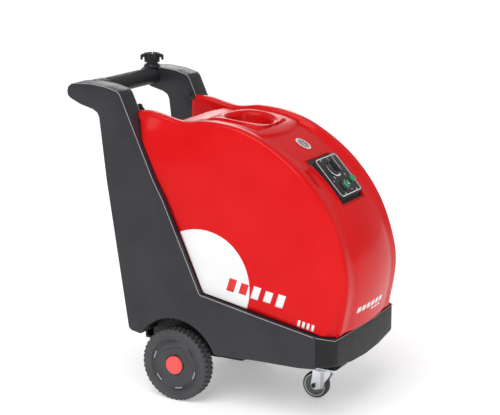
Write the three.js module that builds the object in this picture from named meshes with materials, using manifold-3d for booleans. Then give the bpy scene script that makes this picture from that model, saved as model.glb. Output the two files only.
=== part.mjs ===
// Cabinet-style hot-water pressure washer on a moulded two-wheel chassis with one swivel caster.
// Millimetres. +X is forward (caster end), +Y is the machine's left, +Z is up, the ground is Z = 0.
import * as THREE from 'three';
import { mergeVertices } from 'three/addons/utils/BufferGeometryUtils.js';
import Module from 'manifold-3d';

const wasm = await Module();
wasm.setup();

// ---- driving dimensions ----------------------------------------------------------------------
const GAP = 0.3; // between pieces that touch
const FOOTPRINT_SHIFT = -4.6; // brings the middle of the overall length to X = 0

const FRAME_OUT = 222.6; // outer face of the side frames, from the centre plane
const FRAME_IN = 156.6; // inner face of the side frames

const WHEEL_X = -83;
const WHEEL_R = 107;
const WHEEL_IN = 178; // inner face of a rear wheel, from the centre plane
const WHEEL_OUT = 229;
const RIM_R = 79;
const ARCH_R = 139;
const AXLE_R = 10;

const BAR_X = -385;
const BAR_Z = 880;
const BAR_R = 25.5;

const CASTER_X = 293; // kingpin
const CASTER_TRAIL = 28;
const CASTER_R = 40;
const CASTER_TOP = 105;

const TRAY_FLOOR = 150;
const TRAY_HALF = FRAME_IN - GAP - 0.6;

const HINGE_X = -246;
const HINGE_Z = 836;

const HOOD_WALL = 6;
const HOOD_RIM = 172; // crest of the hood's side rims, from the centre plane
const HOOD_FOOT = 205; // widest part of the hood, along its foot
const HOOD_TAIL_X = -110; // where the channel between the rims ends
const STEP_X = 152; // step at the front of the top plateau

const WELL_X = 40;
const WELL_Z = 809;
const WELL_R = 73;
const WELL_TILT = THREE.MathUtils.degToRad(8);

const PANEL = { x: 326.5, z: 669.5, tilt: THREE.MathUtils.degToRad(47.3), wide: 134, long: 134 };

const BOILER = { x: 40, r: 96, bottom: 168, top: 700 };
const MOTOR = { x: 250, y: 20, z: 246, r: 58 };
const BLOWER = { x: 236, y: 0, z: 440, r: 66 };
const TANK = { x: 254, y: -115, bottom: TRAY_FLOOR + 8, height: 150 };

// ---- materials -------------------------------------------------------------------------------
const paint = (color, roughness, metalness = 0) =>
  new THREE.MeshStandardMaterial({ color, roughness, metalness });

const BLACK = paint(0x37373b, 0.6);
const RED = paint(0xd8201e, 0.25);
const CAP_RED = paint(0xe4504e, 0.5);
const RUBBER = paint(0x2e2e32, 0.85);
const RIM_GREY = paint(0x4a4a50, 0.55);
const ZINC = paint(0xb9bcc0, 0.35, 0.9);
const STEEL = paint(0x9a9da3, 0.4, 0.9);
const BRASS = paint(0xb08a3e, 0.35, 0.9);
const ALUMINIUM = paint(0xa7abb0, 0.5, 0.7);
const MOTOR_PAINT = paint(0x3a4a5c, 0.5);
const PLATE = paint(0x26282b, 0.5);
const GREEN = paint(0x1f8f4a, 0.3);
const WHITE = paint(0xe9e9e6, 0.5);

// ---- helpers ---------------------------------------------------------------------------------
const machine = new THREE.Group();
machine.position.x = FOOTPRINT_SHIFT;

function add(name, geometry, material, parent = machine) {
  const mesh = new THREE.Mesh(geometry, material);
  mesh.name = name;
  parent.add(mesh);
  return mesh;
}

function solidOf(geometry) {
  const bare = geometry.clone();
  bare.deleteAttribute('normal');
  bare.deleteAttribute('uv');
  const merged = mergeVertices(bare, 1e-3);
  const triangles = [];
  for (let i = 0; i < merged.index.count; i += 3) {
    const [a, b, c] = [0, 1, 2].map((k) => merged.index.getX(i + k));
    if (a !== b && b !== c && c !== a) triangles.push(a, b, c);
  }
  return new wasm.Manifold(new wasm.Mesh({
    numProp: 3,
    vertProperties: Float32Array.from(merged.attributes.position.array),
    triVerts: Uint32Array.from(triangles),
  }));
}

function geometryOf(solid) {
  const mesh = solid.getMesh();
  const geometry = new THREE.BufferGeometry();
  geometry.setAttribute('position', new THREE.BufferAttribute(mesh.vertProperties, 3));
  geometry.setIndex(new THREE.BufferAttribute(mesh.triVerts, 1));
  geometry.computeVertexNormals();
  return geometry;
}

const join = (first, ...rest) =>
  geometryOf(rest.reduce((sum, piece) => sum.add(solidOf(piece)), solidOf(first)));
const cut = (body, ...tools) =>
  geometryOf(tools.reduce((sum, tool) => sum.subtract(solidOf(tool)), solidOf(body)));
const common = (first, second) => geometryOf(solidOf(first).intersect(solidOf(second)));

function box([x0, x1], [y0, y1], [z0, z1]) {
  const geometry = new THREE.BoxGeometry(x1 - x0, y1 - y0, z1 - z0);
  return geometry.translate((x0 + x1) / 2, (y0 + y1) / 2, (z0 + z1) / 2);
}

// Cylinder along one axis, from one end to the other.
function rod(axis, radius, from, to, [a, b] = [0, 0], sides = 24) {
  const geometry = new THREE.CylinderGeometry(radius, radius, Math.abs(to - from), sides);
  const middle = (from + to) / 2;
  if (axis === 'x') return geometry.rotateZ(-Math.PI / 2).translate(middle, a, b);
  if (axis === 'y') return geometry.translate(a, middle, b);
  return geometry.rotateX(Math.PI / 2).translate(a, b, middle);
}

// Body of revolution: profile points are [radius, distance along the axis].
const turned = (profile, sides = 20) =>
  new THREE.LatheGeometry(profile.map(([r, along]) => new THREE.Vector2(r, along)), sides);
const turnedZ = (profile, sides) => turned(profile, sides).rotateX(Math.PI / 2);

const outline = (points) => new THREE.Shape(points.map(([a, b]) => new THREE.Vector2(a, b)));

function extruded(shape, depth, bevel) {
  return new THREE.ExtrudeGeometry(shape, {
    depth: depth - 2 * bevel,
    bevelEnabled: bevel > 0,
    bevelSize: bevel,
    bevelThickness: bevel,
    bevelOffset: -bevel,
    bevelSegments: 1,
    curveSegments: 10,
  }).translate(0, 0, bevel);
}

// Outline drawn in X and Z, extruded between two Y planes.
const sideCut = (shape, y0, y1, bevel = 0) =>
  extruded(shape, y1 - y0, bevel).rotateX(Math.PI / 2).translate(0, y1, 0);
// Outline drawn in X and Y, extruded between two heights.
const planCut = (shape, z0, z1, bevel = 0) => extruded(shape, z1 - z0, bevel).translate(0, 0, z0);

// The machine's right (near) side is -1 and its left side is +1.
const SIDES = [['right', -1], ['left', 1]];

const span = (side, inner, outer) => (side < 0 ? [-outer, -inner] : [inner, outer]);

// ---- chassis ---------------------------------------------------------------------------------
// One side frame: handle arm, leaning post and skirt with the wheel arch, in one moulding.
function sideFrameShape() {
  const shape = outline([
    [-437, 880], [-433, 893], [-421, 902], [-396, 905.4], [-353, 906], [-304, 901],
    [-262, 890], [-254, 881], [-149, 647], [-118, 592], [2, 329], [197, 291],
    [361.7, 260], [361.7, 168], [316, 164], [171, 163], [50, 158],
  ]);
  const frontFoot = Math.atan2(158 - WHEEL_R, 50 - WHEEL_X);
  shape.absarc(WHEEL_X, WHEEL_R, ARCH_R, frontFoot, THREE.MathUtils.degToRad(147), false);
  for (const [x, z] of [
    [-232, 189], [-240, 197], [-307, 630], [-328, 812], [-334, 824], [-349, 833],
    [-391, 844], [-427, 860], [-435, 868],
  ]) {
    shape.lineTo(x, z);
  }
  return shape;
}

for (const [side, s] of SIDES) {
  const [y0, y1] = span(s, FRAME_IN, FRAME_OUT);
  add(`${side}_side_frame`, sideCut(sideFrameShape(), y0, y1, 4), BLACK);
}

// Bumper: wraps the front corners of the skirts.
const bumperPlan = planCut(outline([
  [362, -FRAME_OUT], [409, -199], [415, -194], [418, -184], [421, -90], [422, 0],
  [421, 90], [418, 184], [415, 194], [409, 199], [362, FRAME_OUT],
]), 140, 270);
const bumperSide = sideCut(outline([
  [361.7 + GAP, 140], [423, 140], [423, 244], [416, 251.5], [361.7 + GAP, 260],
]), -230, 230);
// Its lower edge sags towards the middle.
const bumperFront = extruded(outline([
  [-230, 168], [-196, 168], [-150, 160], [-80, 153], [0, 151], [80, 153], [150, 160],
  [196, 168], [230, 168], [230, 280], [-230, 280],
]), 100, 0).rotateX(Math.PI / 2).rotateZ(Math.PI / 2).translate(350, 0, 0);
add('front_bumper', common(common(bumperPlan, bumperSide), bumperFront), BLACK);

// Base tray: floor, wheel-house walls, caster boss and a low sump.
add('base_tray', join(
  box([-226, 360], [-TRAY_HALF, TRAY_HALF], [TRAY_FLOOR, TRAY_FLOOR + 7]),
  box([-196, 28], [-TRAY_HALF, -TRAY_HALF + 6], [128, 262]),
  box([-196, 28], [TRAY_HALF - 6, TRAY_HALF], [128, 262]),
  box([236, 350], [-50, 50], [CASTER_TOP + GAP, TRAY_FLOOR + 3]),
  box([-22, 74], [-98, 98], [CASTER_TOP, TRAY_FLOOR + 3]),
), BLACK);

// Rear bulkhead: a bent panel between the posts, narrowed at the top to clear the hood's ears.
const bulkheadSheet = sideCut(outline([
  [-224, TRAY_FLOOR + 7 + GAP], [-218, TRAY_FLOOR + 7 + GAP], [-228, 420], [-206, 636],
  [-109, 796], [-114, 800], [-212, 639], [-234, 421],
]), -TRAY_HALF, TRAY_HALF);
const EAR_CLEAR = 126;
add('rear_bulkhead', cut(
  bulkheadSheet,
  box([-300, 0], [-200, -EAR_CLEAR], [690, 900]),
  box([-300, 0], [EAR_CLEAR, 200], [690, 900]),
), BLACK);

// Handlebar between the arms; on the right it leaves the arm through a moulded collar.
add('handlebar', rod('y', BAR_R, -FRAME_IN + GAP, FRAME_IN - GAP, [BAR_X, BAR_Z], 28), BLACK);
const COLLAR = { from: -FRAME_IN + GAP, to: -FRAME_IN + 46, bore: BAR_R + GAP, wall: 3.4 };
add('handlebar_collar', turned([
  [COLLAR.bore, COLLAR.from], [COLLAR.bore + COLLAR.wall, COLLAR.from],
  [COLLAR.bore + COLLAR.wall, COLLAR.to - 2], [COLLAR.bore + 2, COLLAR.to],
  [COLLAR.bore, COLLAR.to], [COLLAR.bore, COLLAR.from],
], 28).translate(BAR_X, 0, BAR_Z), BLACK);

// Filler on top of the left arm, where the handlebar meets it.
const FILLER = { x: -389, y: 160, base: 906.5 };
add('filler_neck', turnedZ([
  [0, 0], [26, 0], [26, 4], [23, 8], [17, 9], [17, 14], [0, 14],
]).translate(FILLER.x, FILLER.y, FILLER.base), BLACK);

// Screw cap with vertical ribs and two hooked wings.
function fillerCap() {
  const body = turnedZ([[0, 0], [18, 0], [18, 22], [13, 24], [13, 20], [0, 20]], 20);
  const pieces = [];
  for (let i = 0; i < 4; i += 1) {
    const rib = box([13, 21.5], [-6, 6], [2, 28]);
    pieces.push(rib.rotateZ(THREE.MathUtils.degToRad(28.8 + 45 + 90 * i)));
  }
  for (const turn of [0, 180]) {
    const wing = join(box([12, 31], [-5, 5], [19, 24]), box([27, 32.5], [-5, 5], [9, 24]));
    pieces.push(wing.rotateZ(THREE.MathUtils.degToRad(28.8 + turn)));
  }
  return join(body, ...pieces);
}
add('filler_cap', fillerCap(), BLACK)
  .position.set(FILLER.x, FILLER.y, FILLER.base + 14 + GAP);

// ---- rear wheels and axle --------------------------------------------------------------------
add('rear_axle', rod('y', AXLE_R, -WHEEL_OUT + 5, WHEEL_OUT - 5, [WHEEL_X, WHEEL_R]), STEEL);

function axleBracket() {
  const shape = outline([[-34, 0], [-16, -36], [16, -36], [34, 0]]);
  const foot = TRAY_FLOOR - GAP - WHEEL_R;
  const plate = sideCut(shape, -4, 4).translate(0, 0, foot);
  const boss = rod('y', 19, -8, 8);
  return cut(join(plate, boss), rod('y', AXLE_R + GAP, -20, 20));
}

for (const [side, s] of SIDES) {
  add(`${side}_axle_bracket`, axleBracket(), STEEL).position.set(WHEEL_X, s * 128, WHEEL_R);

  // Profiles run from the wheel's inner face towards its outer face.
  const wheel = new THREE.Group();
  wheel.position.set(WHEEL_X, s * WHEEL_IN, WHEEL_R);
  wheel.rotation.z = s < 0 ? Math.PI : 0;
  machine.add(wheel);
  const wide = WHEEL_OUT - WHEEL_IN;
  const seat = RIM_R + GAP;
  add(`${side}_tyre`, turned([
    [seat, 4], [92, 2], [WHEEL_R - 2, 9], [WHEEL_R, 18], [WHEEL_R, wide - 16],
    [WHEEL_R - 3, wide - 6], [92, wide - 1], [seat, wide - 3], [seat, 4],
  ], 40), RUBBER, wheel);
  const hubBore = AXLE_R + GAP + 0.1;
  add(`${side}_wheel_disc`, turned([
    [hubBore, 4], [24, 4], [28, 16], [68, 20], [RIM_R, 4], [RIM_R, wide - 3],
    [74, wide - 3], [68, wide - 8], [30, wide - 5], [hubBore, wide - 5], [hubBore, 4],
  ], 28), RIM_GREY, wheel);
  add(`${side}_hub_cap`, turned([
    [0, wide - 5 + GAP], [27, wide - 5 + GAP], [27, wide - 1], [24, wide + 1.4],
    [14, wide + 3.2], [0, wide + 3.8],
  ], 24), CAP_RED, wheel);
}

// ---- swivel caster ---------------------------------------------------------------------------
const PLATE_HALF = { x: 52.5, y: 42.5 };
const BOLT_AT = { x: 40, y: 30 };
const plateBlank = box(
  [CASTER_X - PLATE_HALF.x, CASTER_X + PLATE_HALF.x], [-PLATE_HALF.y, PLATE_HALF.y],
  [CASTER_TOP - 3.5, CASTER_TOP],
);
const boltSpots = [[1, 1], [1, -1], [-1, 1], [-1, -1]];
add('caster_plate', cut(
  plateBlank,
  rod('z', 6 + GAP, 90, 120, [CASTER_X, 0]),
), ZINC);
boltSpots.forEach(([sx, sy], index) => {
  const at = [CASTER_X + sx * BOLT_AT.x, sy * BOLT_AT.y];
  const head = rod('z', 6.5, CASTER_TOP - 3.5 - GAP - 5, CASTER_TOP - 3.5 - GAP, at, 6);
  add(`caster_bolt_${index + 1}`, head, ZINC);
});

// Fork: bearing cup, crown and two legs that lean back to the axle.
function casterFork() {
  const axleX = CASTER_X - CASTER_TRAIL;
  const leg = outline([
    [CASTER_X - 22, 90], [CASTER_X + 22, 90], [CASTER_X + 20, 80], [axleX + 22, 52],
    [axleX + 9, 31], [axleX - 6, 29], [axleX - 11, 40], [axleX - 6, 54],
  ]);
  const cup = turnedZ([[0, 86], [27, 86], [27, 95], [23, 100], [0, 100]], 20).translate(CASTER_X, 0, 0);
  const blank = join(
    sideCut(leg, -18, -15),
    sideCut(leg, 15, 18),
    box([CASTER_X - 22, CASTER_X + 22], [-18, 18], [86, 90]),
    cup,
  );
  return cut(
    blank,
    rod('z', 6 + GAP, 80, 110, [CASTER_X, 0]),
    rod('y', 4 + GAP, -30, 30, [axleX, CASTER_R], 16),
  );
}
add('caster_fork', casterFork(), ZINC);
add('caster_kingpin', join(
  rod('z', 6, 82, 103, [CASTER_X, 0], 16),
  rod('z', 9, 80, 86 - GAP, [CASTER_X, 0], 6),
), STEEL);

const casterAxleAt = [CASTER_X - CASTER_TRAIL, CASTER_R];
add('caster_axle', join(
  rod('y', 4, -21, 21, casterAxleAt, 16),
  rod('y', 7, -23.5, -18 - GAP, casterAxleAt, 6),
  rod('y', 7, 18 + GAP, 23.5, casterAxleAt, 6),
), STEEL);
const HUB_R = 27;
add('caster_hub', turned([
  [4 + GAP, -13.5], [9, -13.5], [9, -8], [HUB_R - 4, -8], [HUB_R, -11], [HUB_R, 11],
  [HUB_R - 4, 8], [9, 8], [9, 13.5], [4 + GAP, 13.5], [4 + GAP, -13.5],
], 20).translate(casterAxleAt[0], 0, casterAxleAt[1]), RIM_GREY);
add('caster_tyre', turned([
  [HUB_R + GAP, -11], [37, -12], [CASTER_R, -6], [CASTER_R, 6], [37, 12],
  [HUB_R + GAP, 11], [HUB_R + GAP, -11],
], 32).translate(casterAxleAt[0], 0, casterAxleAt[1]), RUBBER);

// ---- hood ------------------------------------------------------------------------------------
// Crest of a side rim, from the rear ear over the top and down the front.
const crest = new THREE.SplineCurve([
  [-228.5, 831], [-180, 830], [-85, 811], [0, 818], [100, 805], [200, 763], [300, 690],
  [378, 592], [424, 480], [437, 385], [418, 261],
].map(([x, z]) => new THREE.Vector2(x, z)));

// Foot of the hood: down the front edge of the post, then along the skirt and the bumper.
const footLine = [
  [-220.5, 813], [-146.6, 648], [-115.6, 593], [4, 332], [197, 293.8], [362, 263.8], [418, 257.6],
].map(([x, z]) => new THREE.Vector2(x, z));
const footLegs = footLine.slice(1).map((point, i) => point.distanceTo(footLine[i]));
const footTotal = footLegs.reduce((sum, leg) => sum + leg, 0);
const CORNER_SHARE = (footLegs[0] + footLegs[1] + footLegs[2]) / footTotal;

function footPoint(share) {
  let left = Math.min(share, 1) * footTotal;
  for (let i = 0; i < footLegs.length; i += 1) {
    if (left <= footLegs[i] || i === footLegs.length - 1) {
      return footLine[i].clone().lerp(footLine[i + 1], Math.min(left / footLegs[i], 1));
    }
    left -= footLegs[i];
  }
  return footLine.at(-1);
}

// Share of the foot line that faces a share of the crest.
const facing = (u) => u + 0.12 * Math.sin(Math.PI * u);

function crestShareAt(test) {
  let low = 0;
  let high = 1;
  for (let i = 0; i < 40; i += 1) {
    const middle = (low + high) / 2;
    if (test(middle)) low = middle;
    else high = middle;
  }
  return low;
}

const stepShare = crestShareAt((u) => crest.getPointAt(u).x < STEP_X);
const cornerShare = crestShareAt((u) => facing(u) < CORNER_SHARE);
const STATIONS = 15;
const stations = [stepShare, stepShare + 0.008, cornerShare];
for (let i = 0; i <= STATIONS; i += 1) {
  const u = i / STATIONS;
  if (stations.every((other) => Math.abs(other - u) > 0.012)) stations.push(u);
}
stations.sort((a, b) => a - b);

// Height of the channel over the crest: a sunken plateau, a step, then a crowned front.
function channelLift(u, share) {
  if (u <= stepShare) return -9 + 3 * share;
  const rise = THREE.MathUtils.smoothstep(u, stepShare, stepShare + 0.42);
  return (-14 + 2 * share) + rise * (13 + 8 * share);
}

const CHANNEL = [[0, 1], [80, 0.7], [136, 0]];
const RIM = [[145, 0], [HOOD_RIM - 6, -1], [HOOD_RIM, -9]];
const FLANK = [0.4, 0.7, 1];

function hoodSection(u) {
  const top = crest.getPointAt(u);
  const along = crest.getTangentAt(u);
  const foot = footPoint(facing(u));
  const lifted = (amount) => [top.x - along.y * amount, top.y + along.x * amount];
  const half = [];
  for (const [y, share] of CHANNEL) half.push([y, ...lifted(channelLift(u, share))]);
  for (const [y, amount] of RIM) half.push([y, ...lifted(amount)]);
  const [edgeX, edgeZ] = lifted(-9);
  const drop = top.distanceTo(foot);
  const spread = (HOOD_FOOT - HOOD_RIM) * THREE.MathUtils.smoothstep(drop, 4, 90);
  for (const t of FLANK) {
    half.push([
      HOOD_RIM + spread * t,
      THREE.MathUtils.lerp(edgeX, foot.x, t),
      THREE.MathUtils.lerp(edgeZ, foot.y, t),
    ]);
  }
  const mirrored = half.slice(1).reverse().map(([y, x, z]) => new THREE.Vector3(x, -y, z));
  return [...mirrored, ...half.map(([y, x, z]) => new THREE.Vector3(x, y, z))];
}

// Closed shell from a grid of outer points, each pushed inward along its own normal.
function thickShell(grid, thickness) {
  const rows = grid.length;
  const columns = grid[0].length;
  const at = (i, j) => grid[Math.min(Math.max(i, 0), rows - 1)][Math.min(Math.max(j, 0), columns - 1)];
  const points = [];
  const inner = [];
  for (let i = 0; i < rows; i += 1) {
    for (let j = 0; j < columns; j += 1) {
      const down = at(i + 1, j).clone().sub(at(i - 1, j));
      const across = at(i, j + 1).clone().sub(at(i, j - 1));
      const normal = down.cross(across).normalize();
      points.push(at(i, j));
      inner.push(at(i, j).clone().addScaledVector(normal, -thickness));
    }
  }
  const count = points.length;
  points.push(...inner);
  const faces = [];
  const quad = (a, b, c, d) => faces.push(a, b, c, a, c, d);
  const id = (i, j) => i * columns + j;
  for (let i = 0; i < rows - 1; i += 1) {
    for (let j = 0; j < columns - 1; j += 1) {
      const ring = [id(i, j), id(i + 1, j), id(i + 1, j + 1), id(i, j + 1)];
      quad(...ring);
      quad(...ring.reverse().map((k) => k + count));
    }
  }
  const edge = [];
  for (let j = 0; j < columns - 1; j += 1) edge.push(id(0, j));
  for (let i = 0; i < rows - 1; i += 1) edge.push(id(i, columns - 1));
  for (let j = columns - 1; j > 0; j -= 1) edge.push(id(rows - 1, j));
  for (let i = rows - 1; i > 0; i -= 1) edge.push(id(i, 0));
  edge.forEach((a, k) => {
    const b = edge[(k + 1) % edge.length];
    quad(a, b, b + count, a + count);
  });
  const geometry = new THREE.BufferGeometry();
  const numbers = points.flatMap((p) => [p.x, p.y, p.z]);
  geometry.setAttribute('position', new THREE.Float32BufferAttribute(numbers, 3));
  geometry.setIndex(faces);
  return geometry;
}

function hoodShell() {
  const skin = thickShell(stations.map(hoodSection), HOOD_WALL);
  const tail = box([-260, HOOD_TAIL_X], [-141, 141], [600, 900]);
  const wellHole = rod('z', WELL_R + 3, -30, 40, [0, 0], 28).rotateY(WELL_TILT)
    .translate(WELL_X, 0, WELL_Z);
  const panelHole = box([-80, 86], [-76, 76], [-70, 60]).rotateY(PANEL.tilt)
    .translate(PANEL.x, 0, PANEL.z);
  const postSlot = sideCut(outline([
    [-251.2, 881], [-146.2, 647], [-210, 647], [-310, 881],
  ]), -230, 230);
  const open = cut(skin, tail, postSlot, wellHole, panelHole);
  const dish = turnedZ([
    [46, -51], [68, -42], [WELL_R + 5, -14], [WELL_R + 5, 1], [WELL_R, 1], [WELL_R - 2, -14],
    [64, -38], [46, -46], [46, -51],
  ], 28).rotateY(WELL_TILT).translate(WELL_X, 0, WELL_Z);
  const earWall = outline([
    [-226, 827], [-180, 826], [-112, 812], [-100, 804], [-100, 700], [-169, 700],
  ]);
  return join(open, dish, sideCut(earWall, -147, -140.4), sideCut(earWall, 140.4, 147));
}

const hood = new THREE.Group();
machine.add(hood);
add('hood_shell', hoodShell(), RED, hood);

// Hinge: a lug on each ear turns on a pin that stands out of the arm.
for (const [side, s] of SIDES) {
  const [y0, y1] = span(s, 136, 140.4 - GAP);
  const arm = sideCut(outline([
    [-258, 836], [-254, 846], [-246, 849], [-236, 847], [-182, 815], [-182, 790], [-208, 800],
    [-254, 826],
  ]), y0, y1);
  const hole = rod('y', 6 + GAP, -170, 170, [HINGE_X, HINGE_Z], 20);
  add(`${side}_hinge_lug`, cut(arm, hole), BLACK, hood);
  const head = turned([
    [0, -30], [9, -30], [9, -25.4], [6, -25.4], [6, -4], [0, -4],
  ], 20);
  const pin = add(`${side}_hinge_pin`, head, STEEL);
  pin.position.set(HINGE_X, s * (FRAME_IN - GAP + 4), HINGE_Z);
  pin.rotation.z = s < 0 ? Math.PI : 0;
}

// ---- control panel ---------------------------------------------------------------------------
// Local frame: +Z out of the plate, +X down the slope, +Y the machine's left.
const panel = new THREE.Group();
panel.position.set(PANEL.x, 0, PANEL.z);
panel.rotation.y = PANEL.tilt;
hood.add(panel);

const PLATE_THICK = 2;
add('control_housing', join(
  box([-76, 82], [-73, 73], [-60, -17]),
  box([-64, 64], [-64, 64], [-20, -PLATE_THICK - GAP]),
), BLACK, panel);
add('control_faceplate', box(
  [-PANEL.long / 2, PANEL.long / 2], [-PANEL.wide / 2, PANEL.wide / 2], [-PLATE_THICK, 0],
), PLATE, panel);

// Thermostat knob: round skirt with a bar grip and a pointer edge.
const KNOB = { x: -26, y: 0 };
add('thermostat_knob', join(
  turnedZ([[0, GAP], [24, GAP], [24, 5], [21, 7], [0, 7]], 28),
  box([-20, 20], [-9, 9], [6, 20]),
), PLATE, panel).position.set(KNOB.x, KNOB.y, 0);

// Lit push switch in its bezel, and a pilot lamp beside it.
const SWITCH = { x: 36, y: -10, r: 11 };
const LAMP = { x: 24, y: 47 };
add('power_switch_bezel', turnedZ([
  [SWITCH.r + 0.5, GAP], [SWITCH.r + 5, GAP], [SWITCH.r + 5, 4], [SWITCH.r + 3, 7],
  [SWITCH.r + 0.5, 7], [SWITCH.r + 0.5, GAP],
]).translate(SWITCH.x, SWITCH.y, 0), PLATE, panel);
add('power_switch_button', turnedZ([
  [0, 4], [SWITCH.r, 4], [SWITCH.r, 10], [SWITCH.r - 3, 12], [0, 12.5],
], 18).translate(SWITCH.x, SWITCH.y, 0), GREEN, panel);
add('pilot_lamp', turnedZ([
  [0, GAP], [9, GAP], [9, 3], [6.5, 3.5], [6, 7], [3, 9], [0, 9.4],
], 20).translate(LAMP.x, LAMP.y, 0), GREEN, panel);

// ---- boiler and burner -----------------------------------------------------------------------
const boilerAt = [BOILER.x, 0];
add('boiler_shell', turnedZ([
  [0, BOILER.bottom], [BOILER.r, BOILER.bottom], [BOILER.r, BOILER.top - 14],
  [BOILER.r - 14, BOILER.top], [0, BOILER.top],
], 36).translate(...boilerAt, 0), STEEL);
add('boiler_base', turnedZ([
  [0, TRAY_FLOOR + 7 + GAP], [88, TRAY_FLOOR + 7 + GAP], [88, BOILER.bottom - GAP],
  [0, BOILER.bottom - GAP],
]).translate(...boilerAt, 0), BLACK);
add('flue_collar', turnedZ([
  [36, BOILER.top + GAP], [56, BOILER.top + GAP], [56, BOILER.top + 5], [41, BOILER.top + 6],
  [41, BOILER.top + 46], [36, BOILER.top + 46], [36, BOILER.top + GAP],
]).translate(...boilerAt, 0), ZINC);

const SCROLL = { half: 34, wall: 3, mouth: 40 };
const blowerAt = [BLOWER.x, BLOWER.z];
const nozzleFrom = BOILER.x + BOILER.r + GAP + 0.5;
add('blower_housing', cut(
  join(
    rod('y', BLOWER.r, -SCROLL.half, SCROLL.half, blowerAt, 32),
    rod('x', 30, nozzleFrom, BLOWER.x - BLOWER.r + 12, [0, BLOWER.z], 24),
  ),
  rod('y', BLOWER.r - SCROLL.wall, -SCROLL.half + SCROLL.wall, SCROLL.half - SCROLL.wall, blowerAt, 32),
  rod('y', SCROLL.mouth, SCROLL.half - 10, SCROLL.half + 10, blowerAt, 28),
), ALUMINIUM);

function fanWheel(radius, hub, width, blades) {
  const pieces = [];
  for (let i = 0; i < blades; i += 1) {
    const blade = box([hub - 2, radius], [-width / 2, width / 2], [-1.2, 1.2]);
    pieces.push(blade.rotateY((2 * Math.PI * i) / blades));
  }
  return join(rod('y', hub, -width / 2, width / 2, [0, 0], 20), ...pieces);
}
add('blower_fan', fanWheel(54, 14, 40, 8), ALUMINIUM).position.set(BLOWER.x, 0, BLOWER.z);
add('blower_motor', rod('y', 36, -SCROLL.half - GAP - 56, -SCROLL.half - GAP, blowerAt, 24), MOTOR_PAINT);

// ---- motor and pump --------------------------------------------------------------------------
const motorAt = [MOTOR.x, MOTOR.z];
const motorFrom = -30;
const motorTo = 86;
function motorBody() {
  const profile = [[0, motorFrom], [MOTOR.r, motorFrom]];
  const FINS = 3;
  for (let i = 0; i < FINS; i += 1) {
    const start = motorFrom + 14 + i * 34;
    profile.push([MOTOR.r, start], [MOTOR.r - 5, start], [MOTOR.r - 5, start + 17], [MOTOR.r, start + 17]);
  }
  profile.push([MOTOR.r, motorTo], [0, motorTo]);
  const foot = box([-44, 44], [motorFrom + 10, motorTo - 10], [TRAY_FLOOR + 7 + GAP - MOTOR.z, -44]);
  return join(turned(profile), foot);
}
add('motor_body', motorBody(), MOTOR_PAINT).position.set(MOTOR.x, 0, MOTOR.z);
const coverFrom = motorTo + GAP;
const coverTo = coverFrom + 38;
add('motor_fan_cover', turned([
  [MOTOR.r - 3, coverFrom], [MOTOR.r, coverFrom], [MOTOR.r, coverTo - 6], [MOTOR.r - 8, coverTo],
  [30, coverTo], [30, coverTo - 3], [MOTOR.r - 9, coverTo - 3], [MOTOR.r - 3, coverTo - 8],
  [MOTOR.r - 3, coverFrom],
]).translate(MOTOR.x, 0, MOTOR.z), BLACK);
add('motor_fan', fanWheel(48, 12, 22, 6), ALUMINIUM)
  .position.set(MOTOR.x, coverFrom + 6 + 11, MOTOR.z);

const PUMP_END = motorFrom - GAP;
add('pump_block', join(
  box([-46, 46], [PUMP_END - 44, PUMP_END], [-46, 40]),
  rod('z', 13, 36, 62, [-22, PUMP_END - 22], 20),
  rod('z', 9, 36, 52, [24, PUMP_END - 22], 16),
), BRASS).position.set(MOTOR.x, 0, MOTOR.z);
add('pressure_knob', join(
  turnedZ([[0, 0], [17, 0], [19, 3], [19, 15], [16, 18], [0, 18]], 12),
  box([10, 20.5], [-2, 2], [4, 14]),
), BLACK).position.set(MOTOR.x - 22, PUMP_END - 22, MOTOR.z + 62 + GAP);

// ---- detergent tank --------------------------------------------------------------------------
const tankWide = 72;
add('detergent_tank', join(
  box([-60, 92], [-tankWide / 2, tankWide / 2], [0, TANK.height - 60]),
  box([-60, 6], [-tankWide / 2, 10], [0, TANK.height]),
  rod('z', 18, TANK.height - 5, TANK.height + 12, [-28, -13], 20),
), WHITE).position.set(TANK.x, TANK.y, TANK.bottom);
add('detergent_cap', turnedZ([
  [0, 0], [21, 0], [22, 3], [22, 14], [20, 17], [0, 17],
], 16), BLACK).position.set(TANK.x - 28, TANK.y - 13, TANK.bottom + TANK.height + 12 + GAP);

// ---- hose connections on the rear bulkhead ---------------------------------------------------
const PORT_Z = 300;
const PORT_X = -228;
function port(radius, neck, length) {
  return turned([
    [0, 0], [radius, 0], [radius, 8], [neck, 10], [neck, length - 6], [neck + 2, length - 5],
    [neck + 2, length], [0, length],
  ], 16).rotateZ(Math.PI / 2);
}
add('water_inlet_coupling', port(24, 13, 46), BRASS).position.set(PORT_X - 6, -62, PORT_Z);
add('pressure_outlet_coupling', port(20, 9, 40), BRASS).position.set(PORT_X - 6, 62, PORT_Z);
add('drain_stub', port(15, 11, 42), BLACK).position.set(-226 - GAP, -120, TRAY_FLOOR + 18);

export default machine;
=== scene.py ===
import math

import bmesh
import bpy
import numpy as np
from mathutils import Matrix, Vector
from mathutils.bvhtree import BVHTree


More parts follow.
